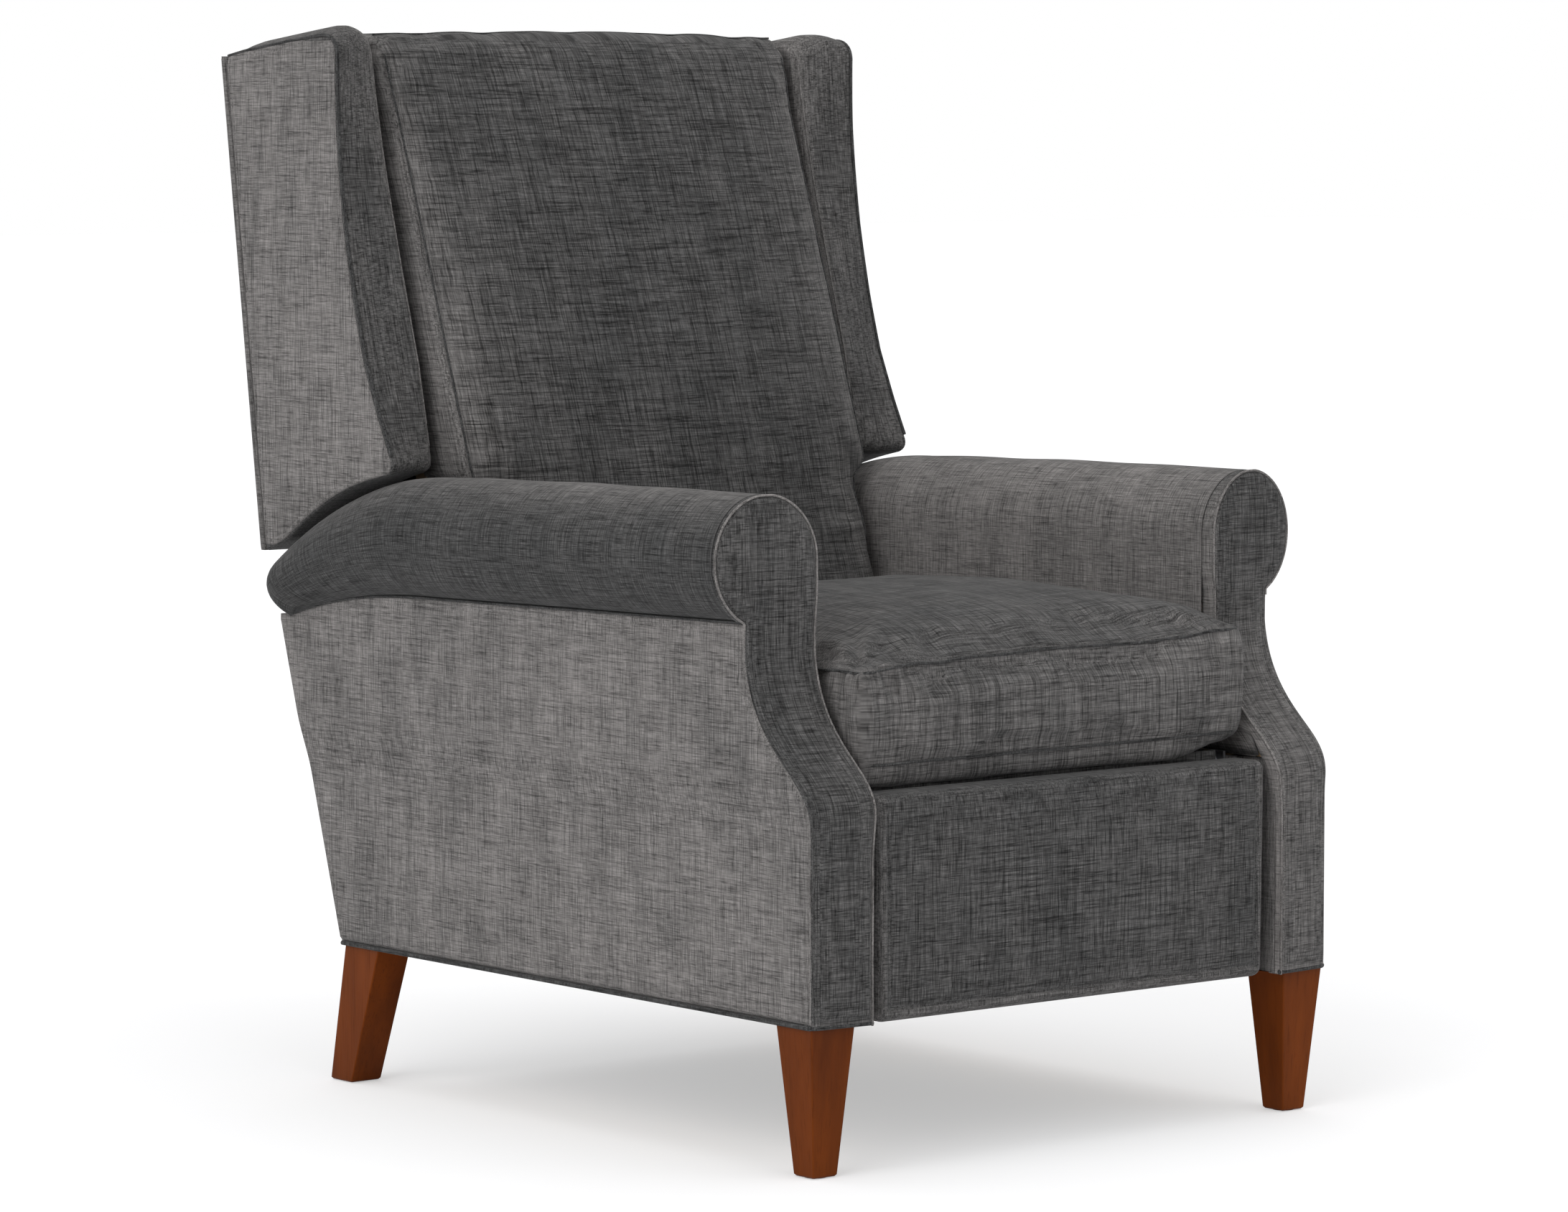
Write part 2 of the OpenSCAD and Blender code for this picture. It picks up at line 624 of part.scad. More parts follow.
module right_wing_pad() {
  wing_pad();
}
skirt_z = 300;
module outside_back() {
  color(charcoal) difference() {
    side(-wing_out, 2 * wing_out) polygon([[rear_d(skirt_z) - back_skin - 14, skirt_z],
      on_rear(wing_low_z, 0), on_rear(back_h - wing_drop, 0),
      on_rear(back_h - wing_drop, back_skin), on_rear(wing_low_z, back_skin),
      [rear_d(skirt_z) - 14, skirt_z]]);
    both() side(inner_half - 8, wing_t + 60) polygon([[pivot[0], skirt_z - 5], [pivot[0], wing_low_z],
      [depth, wing_low_z], [depth, skirt_z - 5]]);
  }
}
lever_x = plate_x - 6;
lever_t = 5;
lever_rise = 90;
lever_top = [face_d(back_low + lever_rise) + core_d + post_t / 2, back_low + lever_rise];
module back_lever() {
  color(zinc) difference() {
    side(lever_x, lever_t)
      polygon([pivot + [-16, -10], pivot + [16, -12], lever_top + [16, 0], lever_top + [-16, 14]]);
    bar(pivot, bolt_r + run_fit, lever_x - 1, lever_t + 2);
  }
}
module left_back_lever() {
  mirror([1, 0, 0]) back_lever();
}
module right_back_lever() {
  back_lever();
}

/* Footrest */
board_t = 12;
pad_t = 33;
board_margin = 6;
footrest_z = leg_h - 1;
footrest_d = 9;
// Pockets in the board's back, in which the control links turn
pocket_w = 9.5;
pocket_h = 42;
pocket_t = 8;
module footrest_board() {
  pocket_x = layer_x(1) + steel / 2 - 2;
  low = footrest_z + board_margin;
  color(wood) translate([0, footrest_d + pad_t - depth / 2, low]) difference() {
    translate([-footrest_w / 2 + board_margin, 0, 0])
      cube([footrest_w - 2 * board_margin, board_t, footrest_h - 2 * board_margin]);
    for (m = [-1, 1])
      translate([m * pocket_x - pocket_w / 2, board_t - pocket_t, control_end[1] - low - pocket_h / 2])
        cube([pocket_w, pocket_t + 1, pocket_h]);
  }
}
pad_m = 48;
function pad_ring(s, d) = let (hh = footrest_h / 2 * (1 - (1 - s) * footrest_w / footrest_h * 0.6))
  [for (p = soft_rect(footrest_w / 2 * s, hh, pad_m, 0.12))
    [p[0], footrest_d + d - depth / 2, footrest_z + footrest_h / 2 + p[1]]];
module footrest_pad() {
  color(charcoal) loft([pad_ring(1, pad_t), pad_ring(1, 10), pad_ring(0.995, 6), pad_ring(0.985, 3.5),
    pad_ring(0.96, 2), pad_ring(0.9, 0.8), pad_ring(0.8, 0)]);
}
bracket_d = footrest_d + pad_t + board_t;
module footrest_bracket() {
  low = control_end[1] - 14;
  high = footrest_pivot[1] + 14;
  color(zinc) difference() {
    union() {
      side(layer_x(2), steel) polygon([[bracket_d, low], [bracket_d, high],
        footrest_pivot + [8, 6], footrest_pivot + [8, -8], control_end + [8, -8]]);
      bar(control_end, 6, layer_x(2), steel);
      side(layer_x(2) - 22, 22 + steel) polygon([[bracket_d, low], [bracket_d, high],
        [bracket_d + 2, high], [bracket_d + 2, low]]);
    }
    bar(footrest_pivot, pin_r + run_fit, layer_x(2) - 1, steel + 2);
  }
}
module left_footrest_bracket() {
  mirror([1, 0, 0]) footrest_bracket();
}
module right_footrest_bracket() {
  footrest_bracket();
}
module bracket_pins() {
  color(zinc) both() bar(control_end, pin_r, layer_x(2) + steel, layer_gap + steel);
}

left_side_frame();
right_side_frame();
front_rail();
rear_rail();
corner_blocks();
left_outer_panel();
right_outer_panel();
left_inner_panel();
right_inner_panel();
left_front_panel();
right_front_panel();
left_arm_pad();
right_arm_pad();
rear_panel();
dust_cover();
front_left_leg();
front_right_leg();
rear_left_leg();
rear_right_leg();
leg_bolts();
leg_glides();
left_side_plate();
right_side_plate();
seat_rails();
frame_pins();
back_pivot_bolts();
seat_frame();
seat_runners();
seat_springs();
seat_deck();
seat_cushion();
back_frame();
back_webbing();
back_cushion();
back_top_panel();
left_wing_core();
right_wing_core();
left_wing_pad();
right_wing_pad();
outside_back();
left_back_lever();
right_back_lever();
left_drive_link();
right_drive_link();
drive_pins();
drive_tube();
left_lift_link();
right_lift_link();
lift_pins();
left_guide_link();
right_guide_link();
left_control_link();
right_control_link();
footrest_board();
footrest_pad();
left_footrest_bracket();
right_footrest_bracket();
bracket_pins();
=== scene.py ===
"""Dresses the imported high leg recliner: woven cover, padding, seams, stained legs, steel and the studio."""

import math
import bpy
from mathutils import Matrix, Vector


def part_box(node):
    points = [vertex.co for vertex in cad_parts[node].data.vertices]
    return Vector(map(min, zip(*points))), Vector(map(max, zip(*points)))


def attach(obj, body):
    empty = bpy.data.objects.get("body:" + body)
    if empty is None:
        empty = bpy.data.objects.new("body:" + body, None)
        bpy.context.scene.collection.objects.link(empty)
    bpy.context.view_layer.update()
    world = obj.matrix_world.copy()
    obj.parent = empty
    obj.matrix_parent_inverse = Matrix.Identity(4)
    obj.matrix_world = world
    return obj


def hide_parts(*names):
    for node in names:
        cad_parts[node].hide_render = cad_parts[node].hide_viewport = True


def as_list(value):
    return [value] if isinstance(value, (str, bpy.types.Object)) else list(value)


bl_info = {
    "name": "High leg recliner",
    "version": (1, 0, 0),
    "blender": (4, 5, 0),
    "location": "View3D > Sidebar > Recliner",
    "description": "Upholstery, seams, legs, mechanism finishes and a plain studio for a high leg recliner",
    "category": "Object",
}

import bmesh
import bpy
import numpy as np
from mathutils import Matrix, Vector
from mathutils.bvhtree import BVHTree

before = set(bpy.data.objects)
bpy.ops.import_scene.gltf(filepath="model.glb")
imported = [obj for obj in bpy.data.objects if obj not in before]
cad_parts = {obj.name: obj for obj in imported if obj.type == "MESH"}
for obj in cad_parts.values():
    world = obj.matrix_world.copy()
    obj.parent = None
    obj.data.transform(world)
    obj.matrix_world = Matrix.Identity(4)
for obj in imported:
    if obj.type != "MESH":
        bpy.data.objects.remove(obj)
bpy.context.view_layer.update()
SIDES = (("left", -1.0), ("right", 1.0))

# Sizes taken from the frame, in metres. A place in side view is (depth from the foremost plane, height).
HALF_DEPTH = 0.5
PANEL_LOW, PANEL_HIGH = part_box("left_front_panel")
INNER_LOW, INNER_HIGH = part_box("left_inner_panel")
WING_LOW, WING_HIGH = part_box("left_wing_pad")
SEAT_LOW, SEAT_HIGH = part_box("seat_cushion")
BACK_LOW, BACK_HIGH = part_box("back_cushion")
REST_LOW, REST_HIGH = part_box("footrest_pad")
SKIN_LOW, SKIN_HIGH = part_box("outside_back")
LEG_H = PANEL_LOW.z
ARM_H = PANEL_HIGH.z
INNER_HALF = -INNER_HIGH.x
ROLL_OUT = -PANEL_LOW.x
ROLL_R = (ROLL_OUT - INNER_HALF) / 2
ROLL_X = INNER_HALF + ROLL_R
WING_OUT = -WING_LOW.x
WING_IN = -WING_HIGH.x

# Sizes of the arm: its roll, its front's S, and the seam under the roll
ROLL_HH = 0.065
OUTER_HALF = 0.342
FLARE = 0.005
BASE_D = 0.011
ARM_FRONT_D = 0.106
SLANT = 0.009
SWEEP = [(BASE_D, 0.345), (BASE_D, 0.395), (ARM_FRONT_D - 0.010, 0.405), (ARM_FRONT_D, 0.500)]
PANEL_T = 0.0135
PLATE_X = INNER_HALF - 0.012
FOOT_RAIL_D = 0.070
PIVOT = (0.612, 0.200)
ARM_R = ARM_H - PIVOT[1] - 0.007
WING_R = ARM_R + 0.008
ARM_END = math.radians(42)
ARM_LENGTH = 0.82
SEAM_Z = 0.532
SEAM_R = 0.324
SEAM_RISE = 0.068
NOTCH_Z = ARM_H - 2 * ROLL_HH
HEM = 0.008
# The arm runs straight over this share of its length, then round the back's axis to a rounded end
STRAIGHT = 0.62
END_ROUND = 0.045
# The side frame stands in by this much behind the arm's rear edge, and below the seam under the roll
POST_INSET = 0.016
POST_DROP = 0.014
BASE_SKIN = 0.002
RAIL_TOP = 0.210
# Heights and depths of the rear post's front edge
POST_FRONT = ((0.210, 0.445), (0.736, 0.713))
# Depth of the base's rear edge at its foot, and how far it rakes back over its rise
REAR_FOOT_D = 0.793
REAR_RAKE = 0.3
# The outside arm starts to flare at this height, and is flared in full after this rise
FLARE_FOOT = 0.325
FLARE_RISE = 0.065
# Radius from the back's axis of a line just under the roll
ROLL_LOW_R = 0.31

# Sizes of the wings and the outside back
TIP_A = math.radians(9.8)
FLAT_A = math.radians(35.3)
WING_TIP_D = 0.689
WING_TOP_D = 0.790
WING_REAR_LOW = 0.929
WING_REAR_TOP = 0.998
WING_DROP = 0.021
WING_CORNER = 0.014
WING_FLAT = 0.026
WING_TOP_Z = WING_HIGH.z - 0.002
TOP_SLOPE = WING_DROP / (WING_REAR_TOP - WING_TOP_D - WING_FLAT)
WING_MID = (WING_IN + WING_OUT) / 2
WING_HALF = (WING_OUT - WING_IN) / 2
SKIN_T = 0.012
# How far the front edge stands back on its outer side, and forward on its inner side, at each height
TWIST_HEIGHTS = (0.660, 0.705, 0.760, 0.820, 0.900, 1.007, 1.054, 1.090)
TWIST_SHIFTS = (-0.008, 0.0, 0.007, 0.007, 0.004, -0.004, -0.009, -0.012)
DOME = {"left": 0.012, "right": 0.008}

# Sizes of the cushions. The seat's two seams lie at these heights over its foot
SEAT_FOOT = 0.017
SEAT_EDGE = 0.113
SEAT_BOX_LOW = SEAT_LOW.z + SEAT_FOOT
SEAT_BOX_HIGH = SEAT_LOW.z + SEAT_EDGE
# The seat's top seam rises by this much between the corners
SEAT_ARCH = 0.010
DECK_FRONT = 0.060 - HALF_DEPTH
LIP_Z = 0.3676
LIP_REACH = 0.009
# The back cushion's face edge: a place on it in side view, and its lean
FACE_PLACE = (0.655, 0.640)
FACE_LEAN = math.radians(18.9)
BACK_THICK = 0.096
BACK_NARROW = INNER_HALF - 0.004
BACK_WIDE = WING_IN - 0.0030
BOXING_R = 0.014
BACK_ROUND = 0.022
TOP_RISE = 0.007
TOP_FALL = 0.010
# Voxel sizes of the cushions' cloth runs, and the frames that a run takes
SEAT_VOXEL = 0.0055
BACK_VOXEL = 0.0072
FILL_FRAMES = 20

# The legs' feet draw in by this much over this share of their height
FOOT_INSET = 0.0014
FOOT_SHARE = 0.012

# Sizes of the webs across the back frame
WEB_H = 0.050
WEB_T = 0.0012
WEB_COUNT = 6
WEB_FRONT = 0.0965
# Scale of the crossed waves in the dark cloths
WAVE_SCALE = 312.49927

# Radii of the sewn cords and seams whose size the panel does not set
BASE_WELT_R = 0.0024
WING_WELT_R = 0.0017
ROLL_SEAM_R = 0.0012
BACK_SEAM_R = 0.0011
WING_SEAM_R = 0.0009

# Painted light and shade of the cloth's pile, from 0 to 1, on the pieces where it is even: each piece is
# painted lighter where its pile catches the light and darker where it lies in shade
OUTSIDE_PAINTED_LIGHT = 0.66
INSIDE_PAINTED_LIGHT = 0.60
# The front post's lining is painted lighter to ease the shade in its gap beside the footrest
POST_PAINTED_LIGHT = 0.55
REAR_POST_PAINTED_LIGHT = 0.50
POST_INNER_PAINTED_LIGHT = 0.40
RAIL_PAINTED_LIGHT = 0.30
BACK_PAINTED_LIGHT = 0.45
LID_PAINTED_LIGHT = 0.25
SKIRT_PAINTED_LIGHT = 0.40
BAND_PAINTED_LIGHT = 0.10
WELT_PAINTED_LIGHT = 0.75
WING_SEAM_PAINTED_LIGHT = 0.55


def smooth(t):
    """Rises from 0 to 1 with level ends, as t goes from 0 to 1."""
    t = np.clip(t, 0, 1)
    return t * t * (3 - 2 * t)


def cubic(points, t):
    """A cubic curve through four control points, one row for each t."""
    p = np.array(points, float)
    t = np.asarray(t, float)[:, None]
    return (1 - t) ** 3 * p[0] + 3 * t * (1 - t) ** 2 * p[1] + 3 * t * t * (1 - t) * p[2] + t**3 * p[3]


SWEEP_CURVE = cubic(SWEEP, np.linspace(0, 1, 200))


def front_depth(z):
    """Depth of the arm's front at height z: the lower post, the S, then the upper post."""
    return np.interp(z, SWEEP_CURVE[:, 1], SWEEP_CURVE[:, 0])


def about(r, a):
    """A side-view point at radius r from the back's axis, turned back by a from straight up."""
    return PIVOT[0] + r * np.sin(a), PIVOT[1] + r * np.cos(a)


def rear_depth(z):
    """Depth of the base's raked rear edge at height z."""
    return REAR_FOOT_D + REAR_RAKE * (z - LEG_H)


def face_depth(z):
    """Depth of the back cushion's face edge at height z."""
    return FACE_PLACE[0] + math.tan(FACE_LEAN) * (z - FACE_PLACE[1])


def resample(points, n):
    """n points evenly spaced along a polyline."""
    p = np.array(points, float)
    s = np.concatenate([[0], np.cumsum(np.linalg.norm(np.diff(p, axis=0), axis=1))])
    t = np.linspace(0, s[-1], n)
    return np.stack([np.interp(t, s, p[:, k]) for k in range(p.shape[1])], 1)


def in_space(x, d, z):
    """Points in the frame's own axes, from distances across, depths and heights."""
    return np.stack(np.broadcast_arrays(x, np.asarray(d) - HALF_DEPTH, z), 1)


def on_side(path, sign):
    """A path of (across, depth, height) rows, put in the frame's axes on one side of the chair."""
    return in_space(*(path * (sign, 1, 1)).T)


def new_object(name, points, faces, finish, smooth_shade=True):
    """A mesh object at the origin from an array of points and lists of faces."""
    mesh = bpy.data.meshes.new(name)
    mesh.from_pydata(np.asarray(points, float).tolist(), [], [list(map(int, f)) for f in faces])
    mesh.validate()
    mesh.polygons.foreach_set("use_smooth", [smooth_shade] * len(mesh.polygons))
    mesh.materials.append(finish)
    mesh.update()
    piece = bpy.data.objects.new(name, mesh)
    bpy.context.scene.collection.objects.link(piece)
    return piece


def tidy_normals(piece):
    """Merges doubled points and turns every face outwards."""
    bm = bmesh.new()
    bm.from_mesh(piece.data)
    bmesh.ops.remove_doubles(bm, verts=bm.verts, dist=1e-6)
    bmesh.ops.dissolve_degenerate(bm, edges=bm.edges, dist=1e-7)
    bmesh.ops.recalc_face_normals(bm, faces=bm.faces)
    bm.to_mesh(piece.data)
    bm.free()
    return piece


def shaded(piece, smooth_shade):
    """Shades every face of a piece smooth, or every face flat."""
    piece.data.polygons.foreach_set("use_smooth", [smooth_shade] * len(piece.data.polygons))
    return piece


def grid_faces(rows, cols, wrap=False, start=0):
    """Quads over a grid of points stored row by row; wrap joins each row's ends."""
    i, j = np.meshgrid(np.arange(rows - 1), np.arange(cols if wrap else cols - 1), indexing="ij")
    k = (j + 1) % cols
    corners = [i * cols + j, i * cols + k, (i + 1) * cols + k, (i + 1) * cols + j]
    return (start + np.stack(corners, -1)).reshape(-1, 4)


def lofted(name, rings, painted_light=None, key="cover", caps=True, first_pole=(0, 0, 0)):
    """A closed skin through rings of equal counts, its ends closed by a pole each.
    The first pole can be pushed in, so that a bent ring's fan stays behind it."""
    rings = np.asarray(rings, float)
    rows, cols, _ = rings.shape
    points = rings.reshape(-1, 3)
    faces = [list(f) for f in grid_faces(rows, cols, wrap=True)]
    if caps:
        points = np.vstack([points, rings[0].mean(0) + first_pole, rings[-1].mean(0)])
        first, last = rows * cols, rows * cols + 1
        for j in range(cols):
            k = (j + 1) % cols
            faces.append([first, k, j])
            faces.append([last, (rows - 1) * cols + j, (rows - 1) * cols + k])
    piece = tidy_normals(new_object(name, points, faces, material(key)))
    return piece if painted_light is None else with_painted_light(piece, painted_light)


def tube(name, path, radius, painted_light=0.0, closed=False, sides=10):
    """A cord of a radius along a path, its rings turned with the path's direction."""
    p = np.asarray(path, float)
    ahead = np.roll(p, -1, 0) - np.roll(p, 1, 0) if closed else np.gradient(p, axis=0)
    t = ahead / np.linalg.norm(ahead, axis=1)[:, None]
    # The first ring is turned by a direction that no cord starts along
    u = np.cross(t[0], [0.31, 0.52, 0.79])
    frames = np.zeros((len(p), 2, 3))
    for i in range(len(p)):
        u = u - t[i] * np.dot(u, t[i])
        u = u / np.linalg.norm(u)
        frames[i] = u, np.cross(t[i], u)
    a = np.linspace(0, 2 * math.pi, sides, endpoint=False)[None, :, None]
    rings = p[:, None] + radius * (np.cos(a) * frames[:, None, 0] + np.sin(a) * frames[:, None, 1])
    if closed:
        rings = np.concatenate([rings, rings[:1]])
    return lofted(name, rings, painted_light, caps=not closed)


def edge_distance(a, b, outline):
    """Distance of each point (a, b) to a closed outline, worked out edge by edge over whole arrays."""
    q = np.stack([a.ravel(), b.ravel()], 1)
    best = np.full(len(q), 1e9)
    for s, e in zip(outline, np.roll(outline, -1, 0)):
        d = e - s
        l2 = max(float(d @ d), 1e-16)
        t = np.clip(((q - s) @ d) / l2, 0, 1)
        best = np.minimum(best, np.linalg.norm(q - s - t[:, None] * d, axis=1))
    return best.reshape(a.shape)


def across(n, edge=0.35):
    """n places from 0 to 1, crowded towards both ends."""
    t = np.linspace(0, 1, n)
    return (1 - edge) * t + edge * (0.5 - 0.5 * np.cos(math.pi * t))


def two_skins(top, bottom, rim_cuts=1):
    """Points and faces of two grids of the same shape, joined round their rims by a band of quads."""
    rows, cols, _ = top.shape
    top, bottom = top.reshape(-1, 3), bottom.reshape(-1, 3)
    faces = [list(f) for f in grid_faces(rows, cols)]
    faces += [list(f)[::-1] for f in grid_faces(rows, cols, start=rows * cols)]
    index = np.arange(rows * cols).reshape(rows, cols)
    rim = np.concatenate([index[0], index[1:, -1], index[-1, -2::-1], index[-2:0:-1, 0]])
    points = np.vstack([top, bottom])
    layers = [rim]
    for k in range(1, rim_cuts):
        layers.append(len(points) + np.arange(len(rim)))
        points = np.vstack([points, top[rim] + (bottom[rim] - top[rim]) * k / rim_cuts])
    layers.append(rim + rows * cols)
    for upper, lower in zip(layers[:-1], layers[1:]):
        faces += np.stack([upper, np.roll(upper, -1), np.roll(lower, -1), lower], 1).tolist()
    return points, faces


def padded_plate(name, rows, low, high, to_world, painted_light, radius, columns, back_radius=None,
                 relief=None, bend=None, rim_cuts=1, key="cover"):
    """A plate between heights low and high over an outline given as rows (b, a0, a1).
    Its edges are rounded by the distance to the outline, relief adds height on the high face,
    bend moves the finished points, and rim_cuts divides the band between the two faces."""
    rows = np.asarray(rows, float)
    a = rows[:, 1:2] + (rows[:, 2:3] - rows[:, 1:2]) * across(columns, 0.6)[None]
    b = np.repeat(rows[:, 0:1], columns, 1)
    dist = edge_distance(a, b, np.vstack([rows[:, [1, 0]], rows[::-1][:, [2, 0]]]))

    def rounded(r):
        e = np.clip(r - dist, 0, r)
        return r - np.sqrt(np.maximum(r * r - e * e, 0))

    lift = 0 if relief is None else relief(a, b, dist)
    heights = high(a, b) + (lift - rounded(radius)), low(a, b) + rounded(back_radius or radius)
    skins = [np.stack(to_world(a, b, height), -1) for height in heights]
    points, faces = two_skins(*skins, rim_cuts)
    if bend is not None:
        points = bend(points)
    return with_painted_light(tidy_normals(new_object(name, points, faces, material(key))), painted_light)


def at_height(value):
    """A plate's face that stays at one height."""
    return lambda a, b: value + 0 * a


def from_side(sign):
    """Puts a plate drawn as (depth, height) at a distance from the middle plane, on one side."""
    return lambda a, b, h: (sign * h, a - HALF_DEPTH, b)


def level_rows(heights, x0, x1):
    """Rows of a plate that runs from x0 to x1 at every height."""
    return np.stack(np.broadcast_arrays(heights, x0, x1), 1)


def surface(piece):
    """Each point's place and normal, as two arrays."""
    count = len(piece.data.vertices)
    places, normals = np.zeros(count * 3), np.zeros(count * 3)
    piece.data.vertices.foreach_get("co", places)
    piece.data.vertex_normals.foreach_get("vector", normals)
    return places.reshape(-1, 3), normals.reshape(-1, 3)


def with_painted_light(piece, painted_light):
    """Stores what the weave needs at each point: its painted light and shade, 0 to 1, as one value or a
    function of places and normals, and the weave's place and facing, at first the point's own."""
    places, normals = surface(piece)
    values = painted_light(places, normals) if callable(painted_light) else np.full(len(places), float(painted_light))
    layer = piece.data.attributes.new("painted_light", "FLOAT", "POINT")
    layer.data.foreach_set("value", np.asarray(values, np.float32))
    # A sharp power makes each point take the threads of the one plane that it faces most
    shares = np.abs(normals * [1, 1, 0.75]) ** 16 + 1e-9
    return woven(piece, places, shares / shares.sum(1, keepdims=True))


def woven(piece, places, facing=None):
    """Stores the flat places that the threads follow, so that they run on over a lean, crown or roll."""
    layers = piece.data.attributes
    for name, values in (("weave", places), ("facing", facing)):
        if values is not None:
            layer = layers.get(name) or layers.new(name, "FLOAT_VECTOR", "POINT")
            layer.data.foreach_set("vector", np.asarray(values, np.float32).ravel())
    return piece


def straightened(piece, depth, low=(-9, -9, -9), high=(9, 9, 9)):
    """Takes a face's own depth, a function of places, off the weave's places, and flattens them to a box."""
    places = surface(piece)[0]
    places[:, 1] -= depth(places)
    return woven(piece, np.clip(places, low, high))


def groove(dist, at, depth, width):
    """A sewn line: a valley at one distance from the edge."""
    return -depth * np.exp(-(((dist - at) / width) ** 2))


def snapped(piece, path, lift):
    """A path laid on a piece's skin: each point goes to the nearest place, then out by a lift.
    The laid path is evened out twelve times, each point going to the mean of itself and its
    neighbours."""
    mesh = piece.data
    tree = BVHTree.FromPolygons([v.co for v in mesh.vertices], [p.vertices for p in mesh.polygons])
    laid = []
    for point in path:
        place, normal, _, _ = tree.find_nearest(Vector(point))
        laid.append(place + normal * lift)
    laid = np.array(laid)
    for _ in range(12):
        laid[1:-1] = (laid[:-2] + laid[1:-1] + laid[2:]) / 3
    return laid


def inward(places, normals):
    """How far each point faces the chair's middle plane, from 0 to 1."""
    return np.clip(-normals[:, 0] * np.sign(places[:, 0]), 0, 1)


class Wire:
    """A node socket with arithmetic, so shader maths reads as an expression."""

    def __init__(self, tree, socket):
        self.tree, self.socket = tree, socket

    def _math(self, operation, a, b):
        return self.tree.node("ShaderNodeMath", {"operation": operation}, {0: a, 1: b})[0]

    def __add__(self, other):
        return self._math("ADD", self, other)

    def __sub__(self, other):
        return self._math("SUBTRACT", self, other)

    def __mul__(self, other):
        return self._math("MULTIPLY", self, other)

    def __rsub__(self, other):
        return self._math("SUBTRACT", other, self)

    def __rmul__(self, other):
        return self._math("MULTIPLY", other, self)

    def largest(self, other):
        return self._math("MAXIMUM", self, other)


class Tree:
    """Builds the nodes of one material, or of a world."""

    def __init__(self, name, cloth=False, world=False):
        self.cloth = cloth
        self.owner = (bpy.data.worlds if world else bpy.data.materials).new(name)
        self.owner.use_nodes = True
        self.nodes = self.owner.node_tree.nodes
        self.links = self.owner.node_tree.links
        self.nodes.clear()
        self.output = self.nodes.new("ShaderNodeOutputWorld" if world else "ShaderNodeOutputMaterial")
        if not world:
            self.shader = self.nodes.new("ShaderNodeBsdfPrincipled")
            self.links.new(self.shader.outputs[0], self.output.inputs[0])

    def put(self, socket, value):
        """Sets or links one input socket."""
        if isinstance(value, Wire):
            self.links.new(value.socket, socket)
        else:
            socket.default_value = value

    def node(self, kind, settings, values):
        """Adds a node: its settings first, then its inputs. Gives its outputs as wires."""
        n = self.nodes.new(kind)
        for key, value in settings.items():
            setattr(n, key, value)
        for key, value in values.items():
            self.put(n.inputs[key], value)
        return [Wire(self, o) for o in n.outputs]

    def set(self, **values):
        """Sets the shader's sockets by name, with underscores for spaces."""
        for key, value in values.items():
            self.put(self.shader.inputs[key.replace("_", " ")], value)

    def stored(self, name, output):
        """A value that the piece's mesh stores: output 1 gives its vector and 2 its number."""
        return self.node("ShaderNodeAttribute", {"attribute_name": name}, {})[output]

    def ray(self, kind):
        """One of the light path's switches, such as Is Camera Ray."""
        return Wire(self, self.nodes.new("ShaderNodeLightPath").outputs[kind])

    def glow(self, kind, strength):
        """A white background or emission."""
        return self.node(kind, {}, {0: (1, 1, 1, 1), 1: strength})[0]

    def end(self, factor, a, b):
        """Ends the tree in a mix of two shaders."""
        self.put(self.output.inputs[0], self.node("ShaderNodeMixShader", {}, {0: factor, 1: a, 2: b})[0])

    def object_place(self, scale=(1, 1, 1)):
        """The piece's own places, or on a cloth the places stored for its weave."""
        place = self.stored("weave", 1) if self.cloth else self.node("ShaderNodeTexCoord", {}, {})[3]
        return self.node("ShaderNodeMapping", {}, {"Vector": place, "Scale": scale})[0]

    def noise(self, scale, detail=2.0, rough=0.5, stretch=(1, 1, 1)):
        """A cloudy noise over the piece's places, drawn out along an axis whose stretch is small."""
        values = {"Vector": self.object_place(stretch), "Scale": scale, "Detail": detail, "Roughness": rough}
        return self.node("ShaderNodeTexNoise", {}, values)[0]

    def ramp(self, value, *stops):
        """A colour that runs between two stops (place, colour) with the value."""
        node = self.nodes.new("ShaderNodeValToRGB")
        for element, (place, colour) in zip(node.color_ramp.elements, stops):
            element.position = place
            element.color = (*colour, 1.0)
        self.put(node.inputs["Fac"], value)
        return Wire(self, node.outputs[0])

    def level(self, value, low, high, out_low=0.0, out_high=1.0):
        """A value carried evenly from one range to another, and held at its ends."""
        values = {"Value": value, "From Min": low, "From Max": high, "To Min": out_low, "To Max": out_high}
        return self.node("ShaderNodeMapRange", {"clamp": True}, values)[0]

    def mix(self, factor, a, b, blend="MIX"):
        """Two colours blended by a factor."""
        settings = {"data_type": "RGBA", "blend_type": blend}
        return self.node("ShaderNodeMix", settings, {0: factor, 6: a, 7: b})[2]

    def bump(self, height, strength, distance):
        """The surface's normal, tilted by the slope of a height."""
        values = {"Strength": strength, "Distance": distance, "Height": height}
        return self.node("ShaderNodeBump", {}, values)[0]


